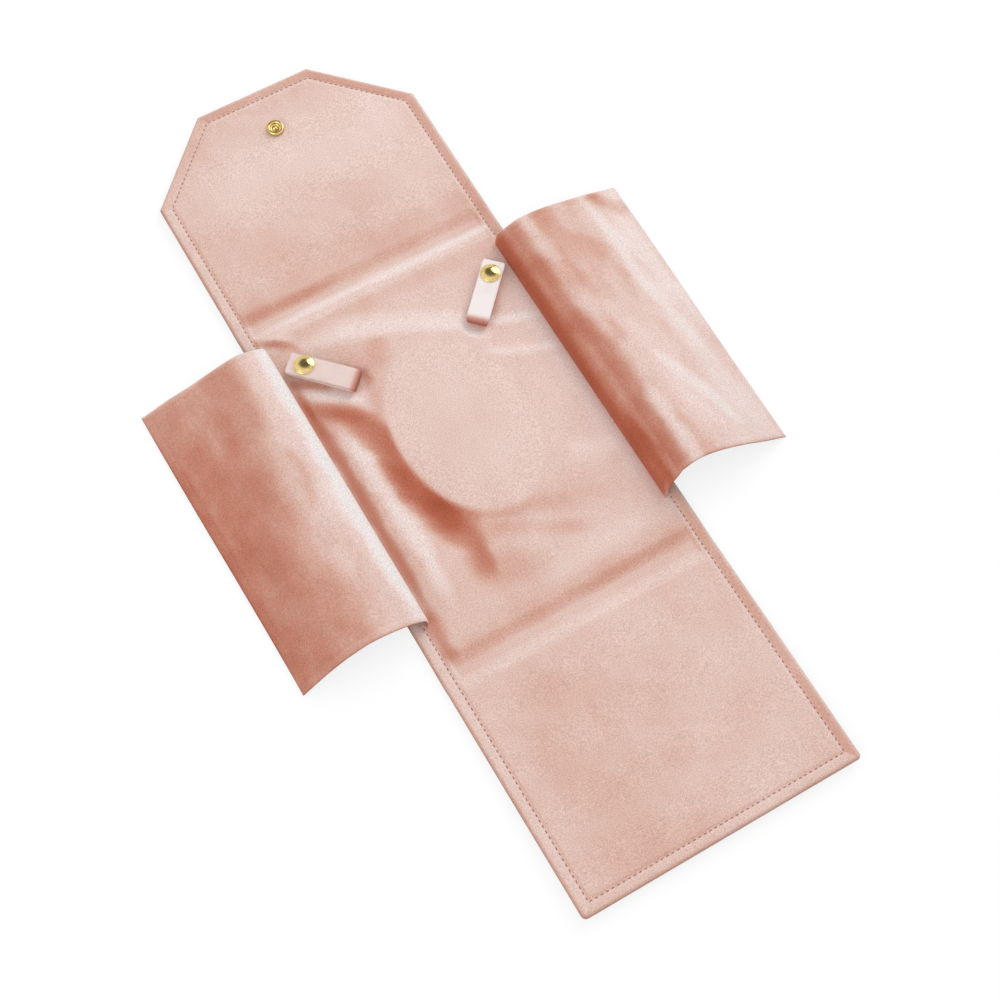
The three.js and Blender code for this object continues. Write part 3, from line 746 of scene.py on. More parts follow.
WING_PAINTED_LIGHT = {
    "left": (
        # Painted shade and painted light across the left wing, with a painted highlight along its crest
        ([(-76, 66), (-83, 38), (-87, 12), (-89, -8), (-88, -50)], 11, 10, -0.1),
        ([(-73, 44), (-72, 9), (-70.5, -16), (-72, -48)], 9, 9, 0.08),
        ([(-67, 28), (-65.6, 13), (-68, -4)], 4, 5, -0.14),
        ([(-56.5, 92), (-55.6, 62), (-55, 26), (-56, -14), (-54.6, -72)], 4.5, 5.5, 0.7),
        ([(-107, 66), (-107, 21), (-107.7, -26), (-106, -64)], 6, 6, -0.22),
        ([(-100, 74), (-98, 40), (-98, 0), (-99, -24)], 10, 9, -0.13),
    ),
    "right": (
        # Painted highlight bands on the right wing
        ([(91, 78), (96, 51), (95, 30), (97, 15), (99, -1), (102, -24)], 5.5, 4.5, 0.26),
        ([(77, -4), (83.6, -22), (87.6, -31), (94, -54)], 4.5, 4.5, 0.28),
        # Painted shade patches on the right wing
        ([(95, 72), (104, 64.5), (110, 55)], 6.5, 6, -0.34),
        ([(105.5, 18), (105.4, -12), (107, -40)], 5, 5, -0.16),
        ([(57, 54), (64, 44), (72, 28)], 8, 8, -0.12),
        ([(58, 24), (65, 11), (70, -4)], 8, 8, -0.12),
        # Painted shade along the right wing's root
        ([(55, 92), (55, 40), (55, 5), (55.4, -30), (56, -84)], 4, 3, -0.2),
        ([(56, -24), (56.6, -48), (57.4, -72)], 4.5, 4, -0.26),
        # Painted light and shade across the right wing's rise and slope
        ([(67, -16), (67.6, -42), (67.6, -80)], 5.5, 4.6, 0.3),
        ([(66, 84), (66, 42), (66.5, 20), (69, -8)], 6, 5.5, 0.24),
        ([(91, 8), (91.5, -15), (93, -40)], 6, 6, -0.14),
        ([(106, 84), (105, 45), (106, 15), (108, -16)], 8, 8, 0.2),
        ([(62, 108), (70, 76), (77, 44), (83, 14), (90, -16)], 15, 11, -0.21),
        ([(84, 90), (88, 44), (91, 10)], 9, 9, -0.16),
        # Painted highlight on the edge of the right wing's lower end
        ([(52.5, -61), (55.5, -61), (60, -59.5)], 0.9, 0.9, 0.5),
    ),
}
STROKE_FADE = 0.22
STROKE_TIP = 0.55
STROKE_RAGGED = 0.3
RAGGED_PACE = (0.16, 0.31)
RAGGED_SHIFT = 3


def faded(place, fade):
    """1 along the middle of a path, falling to 0 at both ends."""
    return smooth(place / fade) * smooth((1 - place) / fade)


def lining_fold(x, y, points, left_width, right_width, height):
    """Height of one soft fold along a crest that fades at both ends."""
    gap, place, left = along_path(x, y, crest_path(points))
    half_width = np.where(left, left_width, right_width)
    return height * bell(gap / half_width) * faded(place, FOLD_FADE)


def painted_light_strokes(x, y, strokes):
    """How far strokes of painted shade and painted highlight, with a few broad tones, move the colour
    of the pile. Each is widest in its middle, with ragged sides and faded ends.
    """
    tone_and_painted_light = np.zeros(np.shape(x))
    for points, left_width, right_width, amount in strokes:
        gap, place, left = along_path(x, y, crest_path(points))
        girth = STROKE_TIP + (1 - STROKE_TIP) * 4 * place * (1 - place)
        ragged = waver(RAGGED_PACE[0] * x + RAGGED_PACE[1] * y + RAGGED_SHIFT * left_width)
        girth = girth * (1 + STROKE_RAGGED * ragged)
        share = bell(gap / (girth * np.where(left, left_width, right_width)))
        tone_and_painted_light = tone_and_painted_light + amount * share * faded(place, STROKE_FADE)
    return tone_and_painted_light


def pad_rise(x, y):
    """The lining over the oval pad: steep on its lower left, soft on its upper right."""
    across, along = x - PAD_CENTRE[0], y - PAD_CENTRE[1]
    reach = np.hypot(across / PAD_HALF_WIDTH, along / PAD_HALF_LENGTH)
    steep = np.hypot(across / PAD_HALF_WIDTH ** 2, along / PAD_HALF_LENGTH ** 2)
    beyond = (reach - 1) * reach / np.maximum(steep, TINY)
    beyond = np.where(reach < PAD_CORE, -PAD_HALF_WIDTH, beyond)
    beyond = above_zero(beyond, PAD_RIM_ROUND)
    away = np.maximum(np.hypot(across, along), TINY)
    facing = (across * LIT_SIDE_DIRECTION[0] + along * LIT_SIDE_DIRECTION[1]) / away
    soft = smooth(0.5 + 0.5 * facing)
    slope = PAD_SHARP_SLOPE + (PAD_SOFT_SLOPE - PAD_SHARP_SLOPE) * soft
    power = PAD_SHARP_POWER + (PAD_SOFT_POWER - PAD_SHARP_POWER) * soft
    fall = np.clip(1 - beyond / slope, 0, 1) ** power
    return PAD_RISE * fall + PAD_CROWN * np.clip(1 - reach ** 2, 0, 1)


def higher(a, b):
    """The higher of two surfaces, with a soft line between them."""
    return b + above_zero(a - b, STEP_SOFTNESS) - STEP_SOFTNESS / 2


def middle_slack(x, y):
    """Pad and folds of the middle lining, kept flat under the straps."""
    height = sum(lining_fold(x, y, *fold) for fold in LINING_FOLDS)
    height = higher(height, higher(pad_rise(x, y), lining_fold(x, y, *LOWER_STEP)))
    for side in SIDES:
        snap, end = STRAP_SNAPS[side], STRAP_ENDS[side]
        outer = snap + STRAP_BED_SHARE * (snap - end)
        gap = along_path(x, y, [outer[:2], end[:2]])[0]
        height = height * smooth((gap - STRAP_BED) / STRAP_BED_FADE)
    return height * smooth((HALF_WIDTH - np.abs(x) - HEM) / SLACK_HEM_FADE)


def pad_share(x, y):
    """1 on the oval pad and 0 off it."""
    reach = np.hypot((x - PAD_CENTRE[0]) / PAD_HALF_WIDTH, (y - PAD_CENTRE[1]) / PAD_HALF_LENGTH)
    return smooth((PAD_TONE_EDGE - reach) / PAD_TONE_FADE)


class Panel:
    """One stretch of the pouch, with a sewn outline or with its two sides sewn."""

    def __init__(self, outline=None):
        self.outline = outline

    def inset(self, x, y):
        """Distance in from the sewn edge."""
        if self.outline is None:
            return HALF_WIDTH - np.abs(x)
        return along_path(x, y, self.outline)[0]

    def top(self, x, y):
        inset = self.inset(x, y)
        height = hem_top(inset, x + y) - SPINE_DIP * spine_dip(y, inset) + tilt_lift(y)
        on_middle = smooth((UPPER_EDGE - np.abs(y)) / SLACK_FOLD_FADE + SLACK_FOLD_SHARE)
        return height + middle_slack(x, y) * on_middle

    def bottom(self, x, y):
        inset = self.inset(x, y)
        return hem_bottom(inset) + SPINE_UNDER_DIP * spine_dip(y, inset) + tilt_lift(y)

    def hem_painted_light_and_shade(self, x, y):
        """Painted shade and painted highlight on the turned hem: a little darker all along, deep where
        its inner half faces away from the lit side and paler where it faces it.
        """
        inset = self.inset(x, y)
        facing = self.inset(x + LIT_SIDE_DIRECTION[0], y + LIT_SIDE_DIRECTION[1]) - inset
        return (HEM_BIAS + HEM_FACING_SHADE * facing) * bell((inset - HEM_TONE_MIDDLE) / HEM_TONE_REACH)

    def fabric(self, name, rows, half_width, cut):
        """The closed cloth of this stretch, on a grid that follows its outline."""
        inward = steps_from_edge(HALF_WIDTH) / HALF_WIDTH
        share = np.concatenate([inward - 1, (1 - inward)[-2::-1]])
        x = half_width(rows)[:, None] * share[None, :]
        y = np.repeat(rows[:, None], len(share), axis=1)
        top = np.stack([x, y, self.top(x, y)], axis=2)
        bottom = np.stack([x, y, self.bottom(x, y)], axis=2)
        in_field = smooth((self.inset(x, y) - HEM) / HEM_GAIN_FADE)
        on_middle = smooth((UPPER_EDGE - np.abs(y)) / MIDDLE_GAIN_FADE)
        gain = HEM_GAIN + in_field * (PANEL_GAIN + on_middle * (MIDDLE_GAIN - PANEL_GAIN) - HEM_GAIN)
        on_pad = pad_share(x, y)
        # Painted shade and painted highlight: the strokes, the shade along the pad's edge stopping at
        # its rim, and the hems'; the pad itself a little paler
        strokes = painted_light_strokes(x, y, LINING_PAINTED_LIGHT_AND_TONE) + painted_light_strokes(x, y, PAD_EDGE_PAINTED_SHADE) * (1 - on_pad)
        bias = PAD_BIAS * on_pad + strokes * smooth(STROKE_EDGE * in_field) + self.hem_painted_light_and_shade(x, y)
        return shell(name, top, bottom, velvet, cut, gain=gain, bias=bias, slack=PANEL_SLACK)


def full_width(rows):
    return np.full(len(rows), HALF_WIDTH)


FLAP_SHOULDER = FLAP_END - FLAP_CUT_LENGTH
FLAP_END_HALF_WIDTH = HALF_WIDTH - FLAP_CUT_WIDTH
BEYOND = 60


def flap_half_width(rows):
    return np.interp(rows, [FLAP_SHOULDER, FLAP_END], [HALF_WIDTH, FLAP_END_HALF_WIDTH])


def front_half_width(rows):
    return HALF_WIDTH - FRONT_CORNER_RADIUS * (1 - rounded(rows - FRONT_END, FRONT_CORNER_RADIUS))


def both_sides(path):
    """A path on the right side, then its mirror image on the left."""
    return path + [(-x, y) for x, y in reversed(path)]


def front_corner():
    """The rounded right corner of the front panel, from its side to its end."""
    centre = (HALF_WIDTH - FRONT_CORNER_RADIUS, FRONT_END + FRONT_CORNER_RADIUS)
    return arc(centre, FRONT_CORNER_RADIUS, start=0, end=-90, count=FRONT_CORNER_POINTS)


FLAP_SIDE = [(HALF_WIDTH, FLAP_SHOULDER), (FLAP_END_HALF_WIDTH, FLAP_END)]
FRONT_SIDE = [(HALF_WIDTH, FRONT_END)]
flap_panel = Panel(both_sides([(HALF_WIDTH, UPPER_SPLIT - BEYOND)] + FLAP_SIDE))
front_panel = Panel(both_sides([(HALF_WIDTH, LOWER_SPLIT + BEYOND)] + front_corner()))
side_panel = Panel()

SPINE_ZONE = 6
flap_rows = np.concatenate([
    evenly(UPPER_SPLIT, FLAP_CREASE + SPINE_ZONE, SPINE_STEP)[:-1],
    evenly(FLAP_CREASE + SPINE_ZONE, FLAP_END - HEM_ZONE - FIELD_STEP, FIELD_STEP)[:-1],
    (FLAP_END - steps_from_edge(HEM_ZONE + FIELD_STEP))[::-1],
])
front_rows = np.concatenate([
    FRONT_END + steps_from_edge(HEM_ZONE + FIELD_STEP),
    evenly(FRONT_END + HEM_ZONE + FIELD_STEP, FRONT_CREASE - SPINE_ZONE, FIELD_STEP)[1:-1],
    evenly(FRONT_CREASE - SPINE_ZONE, LOWER_SPLIT, SPINE_STEP),
])
middle_rows = np.concatenate([
    evenly(MIDDLE_SPLIT, UPPER_EDGE - SPINE_ZONE, FIELD_STEP)[:-1],
    evenly(UPPER_EDGE - SPINE_ZONE, UPPER_SPLIT, SPINE_STEP),
])
lower_rows = evenly(LOWER_SPLIT, MIDDLE_SPLIT, SPINE_STEP)

middle_fabric = side_panel.fabric("middle_fabric", middle_rows, full_width, ("first_row", "last_row"))
lower_fabric = side_panel.fabric("lower_fold_fabric", lower_rows, full_width, ("first_row", "last_row"))
flap_fabric = flap_panel.fabric("flap_fabric", flap_rows, flap_half_width, ("first_row",))
front_fabric = front_panel.fabric("front_fabric", front_rows, front_half_width, ("last_row",))

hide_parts("middle_cover", "middle_lining", "upper_spine_cover", "upper_spine_lining")
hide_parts("lower_spine_cover", "lower_spine_lining")
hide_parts("flap_cover", "flap_lining")
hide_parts("front_cover", "front_lining")


# Stitching on the hems

STITCH_PITCH = 2.3
STITCH_LENGTH = 1.45
THREAD_RADIUS = 0.17
STITCH_START = 0.12
STITCH_SIDES = 6
# Rings of one stitch: place along it, girth and rise
STITCH_RINGS = ((0, 0.35, -0.3), (0.12, 0.85, 0), (0.5, 1, 0.12), (0.88, 0.85, 0), (1, 0.35, -0.3))


def stitch_places(path):
    """Start and direction of each stitch along a path."""
    for start, end in zip(path, path[1:]):
        start, end = np.array(start), np.array(end)
        length = np.linalg.norm(end - start)
        count = max(1, round(length / STITCH_PITCH))
        for k in range(count):
            yield start + (end - start) * (k + STITCH_START) / count, (end - start) / length


def stitching(name, panel, path, bare_top=None):
    """Short raised threads along a sewn line, on the lining and on the cover."""
    vertices, faces = [], []
    for start, run in stitch_places(path):
        side = np.array([-run[1], run[0]])
        centre = start + run * STITCH_LENGTH / 2
        for height, up in ((panel.top, 1), (panel.bottom, -1)):
            if up > 0 and bare_top and bare_top[0] < centre[1] < bare_top[1]:
                continue
            first = len(vertices)
            level = float(height(*centre))
            slope = float(height(*(centre + run))) - float(height(*(centre - run)))
            for share, girth, rise in STITCH_RINGS:
                offset = (share - 0.5) * STITCH_LENGTH
                middle = centre + run * offset
                for k in range(STITCH_SIDES):
                    angle = 2 * math.pi * k / STITCH_SIDES
                    out = middle + side * THREAD_RADIUS * girth * math.cos(angle)
                    lift = up * rise + slope * offset / 2 + THREAD_RADIUS * girth * math.sin(angle)
                    vertices.append((out[0], out[1], level + lift))
            rings = np.arange(first, len(vertices)).reshape(-1, STITCH_SIDES).tolist()
            faces += [rings[0][::-1], rings[-1]] + ring_faces(rings)
    return new_piece(name, vertices, faces, thread)


def side_stitches(name, low, high):
    """Stitching along both side hems of the middle between two heights of y."""
    pieces = []
    for side, sign in SIDES.items():
        x = sign * (HALF_WIDTH - HEM)
        line = [(x, low), (x, high)]
        pieces.append(stitching(f"{name}_{side}", side_panel, line, (WING_LOW, WING_HIGH)))
    return pieces


middle_stitches = side_stitches("middle_stitching", MIDDLE_SPLIT, UPPER_SPLIT)
lower_stitches = side_stitches("lower_fold_stitching", LOWER_SPLIT, MIDDLE_SPLIT)
flap_line = inset_path(both_sides([(HALF_WIDTH, UPPER_SPLIT)] + FLAP_SIDE), HEM)
front_line = inset_path(both_sides([(HALF_WIDTH, LOWER_SPLIT)] + FRONT_SIDE)[::-1], HEM)
flap_stitches = [stitching("flap_stitching", flap_panel, flap_line.tolist())]
front_stitches = [stitching("front_stitching", front_panel, front_line.tolist())]


# Cloth across the folds: the pieces, the bodies they go from and to, and where along y that starts and
# ends. Only their places are baked here.
BENDS = (
    ([middle_fabric] + middle_stitches, "middle", "upper_spine", UPPER_EDGE, UPPER_SPLIT),
    ([lower_fabric] + lower_stitches, "middle", "lower_spine", LOWER_EDGE, LOWER_SPLIT),
    ([flap_fabric] + flap_stitches, "upper_spine", "flap", UPPER_SPLIT, FLAP_CREASE),
    ([front_fabric] + front_stitches, "lower_spine", "front_panel", LOWER_SPLIT, FRONT_CREASE),
)
for pieces, first, second, start, end in BENDS:
    for piece in pieces:
        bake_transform(piece)


# Wings: loose double velvet, standing up from a seam and arching down to the table

WING_HALF_THICKNESS = 0.5
WING_EDGE_ROUND = 1.3
WING_HEM_LINE = 3.4
WING_HEM_GROOVE = 0.05
WING_HEM_HALF_WIDTH = 0.8
WING_HEM_STEPS = (1.9, 2.6, 3.0, 3.4, 3.8, 4.5)
WING_RIM_STEPS = 5
WING_ROOT_STEP = 0.7
WING_STEP = 1.2
WING_LENGTH_STEPS = 200
WING_EDGE_GAIN = 0.5
WING_SPLIT = 13.2
WING_SPLIT_ZONE = 0.75
WING_SPLIT_STEPS = 7
# Sections of the wings at their lower and upper end, as distance out and height, and how far their
# lower end is drawn in at shares of the way out
WING_SECTIONS = {
    "left": {
        "low": [(53.3, 2.6), (53.3, 6), (54.2, 9), (57.4, 11), (63, 12.9), (74, 14), (87, 11.4),
                (98, 5.9), (106.6, 0.75)],
        "high": [(53.3, 2.6), (53.2, 6), (54, 8.9), (57.2, 10.9), (62.4, 12.9), (67.5, 13.4),
                 (74, 11.8), (85, 8.3), (97, 4.5), (108.4, 0.75)],
        "drawn": [(0, 0), (0.2, 0.8), (0.5, 1.4), (0.8, 0.8), (1, 0)],
    },
    "right": {
        "low": [(53.3, 2.6), (53.4, 6), (54.2, 8.8), (57.2, 10.6), (60.4, 12.4), (63.4, 14.9),
                (68, 17), (77, 16.8), (88, 12.8), (99, 6.6), (109.6, 0.7)],
        "high": [(53.3, 2.6), (53.5, 6.2), (54.6, 9.1), (58, 11.1), (64, 13.4), (74, 13.1), (88, 9.4),
                 (101, 4.3), (111.2, 0.7)],
        "drawn": [(0, 0.6), (0.06, 0.8), (0.13, 2.2), (0.22, 3.8), (0.36, 3.4), (0.6, 1.6),
                  (0.85, 0.4), (1, 0)],
    },
}
WING_DRAWN_REACH = 30
WING_LOOSE_FROM = 0.2
WING_LOOSE_RISE = 0.25
WING_LOOSE_FALL = 0.3
# Loose waves: height, length along the wing, slant across it and start
WING_WAVES = ((0.7, 24, 7, 0), (0.3, 13, -8, 2))


def wing_surface(sections, rows, fractions):
    """Mid-surface of a wing on the right: its section changes from end to end."""
    low = spline(sections["low"], fractions)
    high = spline(sections["high"], fractions)
    share = smooth((rows - WING_LOW) / (WING_HIGH - WING_LOW))[:, None, None]
    section = low[None] * (1 - share) + high[None] * share
    y = np.repeat(rows[:, None], len(fractions), axis=1)
    reach = fractions[None, :]
    loose = smooth((reach - WING_LOOSE_FROM) / WING_LOOSE_RISE) * smooth((1 - reach) / WING_LOOSE_FALL)
    wave = sum(height * waver(y / length + slant * reach + start)
               for height, length, slant, start in WING_WAVES)
    drawn = np.interp(fractions, *zip(*sections["drawn"]))[None, :]
    y = y + drawn * smooth((WING_LOW + WING_DRAWN_REACH - y) / WING_DRAWN_REACH)
    return np.stack([section[..., 0], y, section[..., 1] + loose * wave], axis=2)


def wing(side, sign):
    """The inner and outer stretch of one wing."""
    sections = WING_SECTIONS[side]
    length = step_lengths(spline(sections["low"], np.linspace(0, 1, WING_LENGTH_STEPS))).sum()
    rim = rim_steps(WING_EDGE_ROUND, WING_RIM_STEPS)
    ends = np.concatenate([rim, WING_HEM_STEPS])
    rows = np.concatenate([
        WING_LOW + ends,
        evenly(WING_LOW + ends[-1], WING_HIGH - ends[-1], WING_STEP)[1:-1],
        (WING_HIGH - ends)[::-1],
    ])
    near_split = WING_SPLIT + np.linspace(-WING_SPLIT_ZONE, WING_SPLIT_ZONE, WING_SPLIT_STEPS)
    steps = np.concatenate([
        rim,
        evenly(rim[-1], near_split[0], WING_ROOT_STEP)[1:-1],
        near_split,
        evenly(near_split[-1], length - ends[-1], WING_STEP)[1:-1],
        (length - ends)[::-1],
    ])
    split = int(np.argmin(np.abs(steps - WING_SPLIT)))
    surface = wing_surface(sections, rows, steps / length)
    normals = grid_normals(surface)
    from_end = np.minimum(rows - WING_LOW, WING_HIGH - rows)[:, None]
    from_edge = np.minimum(from_end, (length - steps)[None, :])
    round_gap = np.minimum(from_edge, steps[None, :])
    thick = WING_HALF_THICKNESS * rounded(round_gap, WING_EDGE_ROUND)
    thick = thick - WING_HEM_GROOVE * bell((from_edge - WING_HEM_LINE) / WING_HEM_HALF_WIDTH)
    gain = WING_EDGE_GAIN + (WING_GAIN - WING_EDGE_GAIN) * smooth(from_edge / WING_HEM_LINE)
    # Painted shade and painted highlight strokes on the wing, on a slightly darker tone
    bias = WING_BIAS + painted_light_strokes(sign * surface[..., 0], surface[..., 1], WING_PAINTED_LIGHT[side])
    top = surface + normals * thick[..., None]
    bottom = surface - normals * thick[..., None]
    mirror = np.array([sign, 1, 1])
    pieces = []
    for label, columns, cut in (
        ("inner", np.s_[:, :split + 1], ("last_column",)),
        ("outer", np.s_[:, split:], ("first_column",)),
    ):
        name = f"{side}_wing_{label}_fabric"
        pieces.append(shell(name, top[columns] * mirror, bottom[columns] * mirror, velvet, cut,
                            mirrored=sign < 0, gain=gain[columns], bias=bias[columns],
                            under_bias=WING_BIAS, slack=WING_SLACK))
    declare_wing(side, pieces)


def declare_wing(side, pieces):
    """Hides the CAD pieces that a wing stands in for, and bakes the places of its two stretches."""

    inner, outer = pieces
    body = side + "_wing_"
    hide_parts(body + "root_face", body + "root_back",
                body + "shoulder_face", body + "shoulder_back")
    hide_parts(body + "panel_face", body + "panel_back")
    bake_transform(inner)
    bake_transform(outer)


for side, sign in SIDES.items():
    wing(side, sign)


# Straps: a folded strip of ribbon, held below by a rivet and closed by a press stud

STRAP_HALF_WIDTH = 4.7
STRAP_HALF_THICKNESS = 0.5
STRAP_OUTER_REACH = 6.9
STRAP_INNER_REACH = 22.8
STRAP_CORNER = 1.0
STRAP_STEP = 0.7
STRAP_FOLD_RADIUS = 1.8
STRAP_BASE_SHARE = 0.84
STRAP_TONE = {"left": 0.16, "right": 0.0}
STRAP_TONE_REACH = 1.6
STRAP_CUT = 16.0
STRAP_SNAP_REACH = 4.2
STRAP_DROOP = 0.9
STRAP_DROOP_FROM = 3.4
STRAP_DROOP_REACH = 2.6
STRAP_END_STEPS = 6
STRAP_SIDE_STEPS = 5
STRAP_COLUMNS = 15


def strap(side):
    """One strip from the outer end of its base, round its fold, to the outer end of its tongue.

    The tongue stands highest on its press stud, droops beside it and runs down to the fold. In here s
    runs along the strip, u inwards from the press stud, w across the strip and z up.
    """
    snap, axis = STRAP_SNAPS[side], STRAP_ENDS[side]
    low = box_centre(side + "_strap_base")[2]
    high = box_centre(side + "_strap_tongue")[2]
    radius = STRAP_FOLD_RADIUS
    inward = unit(axis[:2] - snap[:2])
    across = np.array([-inward[1], inward[0]])
    bend = STRAP_INNER_REACH - STRAP_HALF_THICKNESS - radius
    leg = bend + STRAP_OUTER_REACH
    length = 2 * leg + math.pi * radius
    cut_at = leg + math.pi * radius + bend - STRAP_CUT
    rim = rim_steps(STRAP_CORNER, STRAP_END_STEPS)
    s = np.concatenate([
        rim,
        evenly(STRAP_CORNER, cut_at, STRAP_STEP)[1:-1],
        evenly(cut_at, length - STRAP_CORNER, STRAP_STEP)[:-1],
        length - rim[::-1],
    ])
    turn = np.clip((s - leg) / radius, 0, math.pi)
    after = np.maximum(s - leg - math.pi * radius, 0)
    u = np.minimum(s, leg) - STRAP_OUTER_REACH + radius * np.sin(turn) - after
    on_tongue = s > leg + math.pi * radius
    at_snap = smooth((STRAP_CUT - u) / (STRAP_CUT - STRAP_SNAP_REACH))
    tongue_z = low + 2 * radius + (high - low - 2 * radius) * at_snap
    z = np.where(on_tongue, tongue_z, low + radius * (1 - np.cos(turn)))
    out_u, out_z = np.sin(turn), -np.cos(turn)
    from_end = np.minimum(s, length - s)
    half_width = STRAP_HALF_WIDTH - STRAP_CORNER * (1 - rounded(from_end, STRAP_CORNER))
    half_width = half_width * (STRAP_BASE_SHARE + (1 - STRAP_BASE_SHARE) * smooth(turn / math.pi))
    side_rim = rim_steps(STRAP_HALF_THICKNESS, STRAP_SIDE_STEPS) / STRAP_HALF_WIDTH
    inner = np.linspace(-1 + side_rim[-1], 1 - side_rim[-1], STRAP_COLUMNS)
    share = np.concatenate([side_rim - 1, inner[1:-1], (1 - side_rim)[::-1]])
    w = half_width[:, None] * share[None, :]
    from_side = half_width[:, None] * (1 - np.abs(share))[None, :]
    gap = np.minimum(from_side, from_end[:, None])
    thick = STRAP_HALF_THICKNESS * rounded(gap, STRAP_HALF_THICKNESS)
    from_snap = np.hypot(w, np.minimum(u, 0)[:, None])
    beside = smooth((from_snap - STRAP_DROOP_FROM) / STRAP_DROOP_REACH)
    level = z[:, None] - STRAP_DROOP * beside * (at_snap * on_tongue)[:, None]

    def face(offset):
        reach = u[:, None] + out_u[:, None] * offset
        x = snap[0] + inward[0] * reach + across[0] * w
        y = snap[1] + inward[1] * reach + across[1] * w
        return np.stack([x, y, level + out_z[:, None] * offset], axis=2)

    row = int(np.argmin(np.abs(s - cut_at)))
    outside, inside = face(thick), face(-thick)
    lower = shell(side + "_strap_lower", outside[:row + 1], inside[:row + 1], ribbon, ("last_row",))
    upper = shell(side + "_strap_tongue_strip", outside[row:], inside[row:], ribbon, ("first_row",))
    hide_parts(side + "_strap_base", side + "_strap_fold")
    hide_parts(side + "_strap_tongue")
    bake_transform(lower)
    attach(upper, side + "_tongue")
    for piece, share_of_length in ((lower, cut_at), (upper, length - cut_at)):
        vertices = np.empty(3 * len(piece.data.vertices))
        piece.data.vertices.foreach_get("co", vertices)
        places = vertices.reshape(-1, 3)[:, :2] / MM - snap[:2]
        point_values(piece, "across", places @ across)
        # The fold value: painted shade that deepens round the fold, on a tone darker for the left strap
        # than the right
        past_fold = places @ inward - bend + STRAP_TONE_REACH
        round_fold = np.clip(past_fold / (radius + STRAP_HALF_THICKNESS + STRAP_TONE_REACH), 0, 1)
        point_values(piece, "fold", STRAP_TONE[side] + round_fold ** 2)


for side in SIDES:
    strap(side)


# Press studs

EDGE_BREAK = 0.15
ARC_STEPS = 14


def foot(radius):
    """The flat foot of a profile, with its edge broken."""
    return [(0, 0), (radius - EDGE_BREAK, 0), (radius, EDGE_BREAK)]


def cap_profile(radius, height):
    """A flat-topped dome standing inside a nearly level rim."""
    edge = 0.16
    rim_width = 0.75
    rise = 0.5
    flatness = 2.4
    valley_width = 0.1
    valley_depth = 0.04
    tip = 0.06
    dome = radius - rim_width
    rim = arc((radius - edge, edge), edge, start=-60, end=60, count=4)
    valley = (dome + valley_width, rise - valley_depth)
    shares = np.linspace(1, tip, ARC_STEPS)
    crown = [(dome * t, rise + (height - rise) * (1 - t ** flatness)) for t in shares]
    return [(0, 0), (radius - edge, 0)] + rim + [valley] + crown + [(0, height)]


def socket_profile(radius, height, bore):
    """A rounded ring round a bore with a flared rivet in its middle."""
    ring = (radius - bore) / 2
    floor = 0.34
    rivet = 1.25
    lip = 0.3
    hollow = 0.45
    hollow_depth = 0.1
    sunk = floor - hollow_depth
    return (
        foot(radius)
        + arc((bore + ring, height - ring), ring, start=0, end=180, count=ARC_STEPS)
        + [(bore, floor), (rivet, floor)]
        + arc((rivet - lip, floor), lip, start=0, end=150, count=6)
        + [(hollow, sunk), (0, sunk)]
    )


def stud_profile(radius, height, head):
    """A flange with a ball-shaped head, hollow at its tip."""
    flange = 0.4
    bevel = 0.3
    draft = 0.05
    skirt = 0.5
    neck = 0.2
    ball = 0.62
    bulge = 0.02
    lip = (0.6, height - 0.12)
    hollow = 0.5
    sunk = height - hollow
    return (
        foot(radius)
        + [(radius - draft, bevel), (radius - bevel, flange)]
        + [(head + skirt, flange + draft), (head - bevel, flange + neck)]
        + arc((head - ball + bulge, height - ball), ball, start=-30, end=90, count=9)
        + [lip, (hollow, sunk), (0, sunk)]
    )


# Kinds of press-stud piece: profile, and its radius, height, and bore or head
KINDS = {
    "cap": (cap_profile, (4.2, 1.3)),
    "socket": (socket_profile, (3.7, 1.8, 2.15)),
    "stud": (stud_profile, (3.6, 1.6, 1.65)),
}


def press_stud_piece(node, body, tilt=0, over=False):
    """A turned piece in the place of a CAD press-stud piece, whose name ends with its kind."""
    profile, sizes = KINDS[node.split("_")[-1]]
    height = sizes[1]
    up = np.array([0, -math.sin(tilt), math.cos(tilt)]) * (-1 if over else 1)
    tip = box_centre(node)
    tip[2] = node_box(node)[0 if over else 1][2]
    piece = turned(node + "_turned", profile(*sizes), tip - up * height, brass, tilt, over)
    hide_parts(node)
    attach(piece, body)


for side in SIDES:
    press_stud_piece(side + "_strap_cap", side + "_tongue")
    press_stud_piece(side + "_strap_socket", side + "_tongue", over=True)
    press_stud_piece(side + "_strap_stud", "middle")
press_stud_piece("flap_socket", "flap", FLAP_TILT)
press_stud_piece("flap_cap", "flap", FLAP_TILT, over=True)
press_stud_piece("front_stud", "front_panel", -FRONT_TILT, over=True)


# Finish of the CAD pieces that stay

STAYING = {
    board: ("middle_board", "flap_board", "front_board"),
    foam: ("oval_pad",),
    brass: ("left_strap_eyelet", "right_strap_eyelet", "front_eyelet"),
}
for material, names in STAYING.items():
    for name in names:
        for material_slot in frame["nodes"][name].material_slots:
            material_slot.material = material


# Camera at the photograph's viewing angle

CAMERA_PLACE = (-166.794, -276.090, 671.684)
CAMERA_ELEVATION = math.radians(66.188)
CAMERA_AZIMUTH = math.radians(-33.588)
CAMERA_ROLL = math.radians(-3.602)
CAMERA_LENS = 67.757
CAMERA_SENSOR = 36
CAMERA_CLIP = (0.01, 50)


def stand(name, data, columns):
    """An object by the columns of its matrix: right, up, back and place."""
    matrix = np.eye(4)
    matrix[:3] = np.stack(columns, axis=1)
    thing = bpy.data.objects.new(name, data)
    thing.matrix_world = Matrix(matrix.tolist())
    bpy.context.scene.collection.objects.link(thing)
    return thing


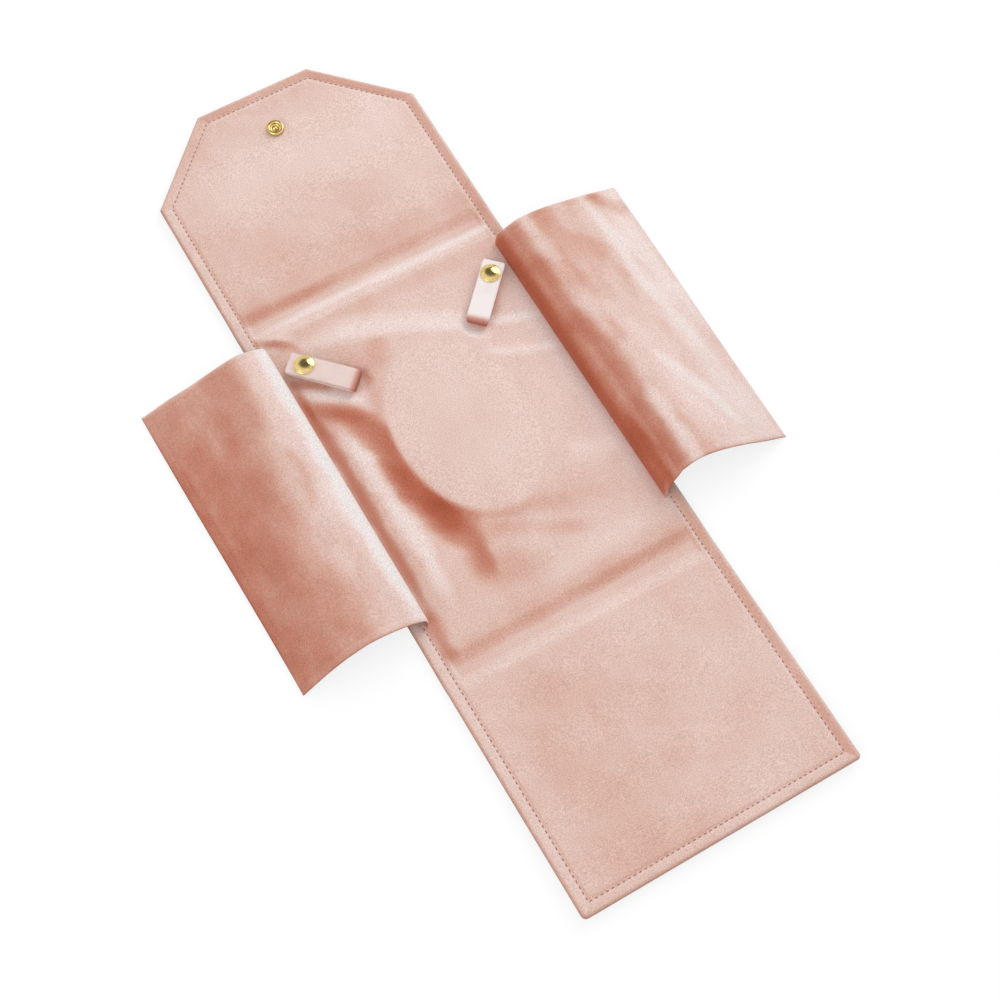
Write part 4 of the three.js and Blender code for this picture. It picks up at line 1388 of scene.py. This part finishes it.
def add_camera():
    """A camera by its place, the direction it looks from and its roll."""
    az, el = CAMERA_AZIMUTH, CAMERA_ELEVATION
    back = np.array([math.sin(az) * math.cos(el), -math.cos(az) * math.cos(el), math.sin(el)])
    right = unit(np.cross(-back, [0, 0, 1]))
    down = np.cross(-back, right)
    cos, sin = math.cos(CAMERA_ROLL), math.sin(CAMERA_ROLL)
    data = bpy.data.cameras.new("photo_camera")
    data.sensor_width = CAMERA_SENSOR
    data.lens = CAMERA_LENS
    data.clip_start, data.clip_end = CAMERA_CLIP
    place = np.array(CAMERA_PLACE) * MM
    columns = (cos * right + sin * down, sin * right - cos * down, back, place)
    bpy.context.scene.camera = stand("photo_camera", data, columns)


add_camera()


# Soft studio light and a pale floor

LAMPS = {
    "key_light": {"direction": (0.71, 0.41, 0.57), "share": 0.21, "size": 0.9},
    "fill_light": {"direction": (-0.75, -0.25, 0.61), "share": 0.16, "size": 1.1},
}
LAMP_DISTANCE = 1.3
SKY_SHARE = 0.66
CEILING_DIRECTION = (0.33, 0.45, 0.83)
CEILING_SHADE = 0.16
CEILING_EDGE = (0.70, 0.96)
FLOOR_SIZE = 6.0
FLOOR_SHADE = 0.23
FLOOR_GLOW = 0.79
FLOOR_DEPTH = 0.02
WHITE = (1, 1, 1, 1)


def add_lamp(name, direction, share, size):
    """A large soft lamp, with its share of the light measured on level cloth."""
    direction = unit(direction)
    right = unit(np.cross([0, 0, 1], direction))
    data = bpy.data.lights.new(name, "AREA")
    data.shape = "DISK"
    data.size = size
    data.energy = share * math.pi ** 2 * LAMP_DISTANCE ** 2 / direction[2]
    stand(name, data, (right, np.cross(direction, right), direction, direction * LAMP_DISTANCE))


def add_sky():
    """Even white light. Where it is seen it is a white sweep under a darker ceiling."""
    n = Nodes("studio", world=True)
    direction = n.add("TexCoord").outputs["Generated"]
    facing = n.vector_math("DOT_PRODUCT", direction, CEILING_DIRECTION)["Value"]
    sweep = n.feed(n.add("MapRange", interpolation_type="SMOOTHSTEP"), Value=facing, To_Min=1.0,
                   To_Max=CEILING_SHADE, From_Min=CEILING_EDGE[0], From_Max=CEILING_EDGE[1])
    strength = n.feed(n.add("Mix"), Factor=n.seen_directly(), A=SKY_SHARE, B=sweep["Result"])
    n.set(Color=WHITE, Strength=strength["Result"])
    bpy.context.scene.world = n.owner


def add_floor():
    """A pale floor that reads white and keeps the pouch's soft shadow."""
    n = Nodes("white_floor")
    glow = n.math("MULTIPLY", n.seen_directly(), FLOOR_GLOW)
    n.set(Base_Color=(FLOOR_SHADE, FLOOR_SHADE, FLOOR_SHADE, 1), Roughness=1, Specular_IOR_Level=0,
          Emission_Color=WHITE, Emission_Strength=glow)
    half = FLOOR_SIZE / 2 / MM
    corners = [(-half, -half, 0), (half, -half, 0), (half, half, 0), (-half, half, 0)]
    floor = new_piece("floor", corners, [(0, 1, 2, 3)], n.owner)
    floor.location.z = -FLOOR_DEPTH * MM


for name, lamp in LAMPS.items():
    add_lamp(name, **lamp)
add_sky()
add_floor()
bpy.context.scene.view_settings.view_transform = "Standard"
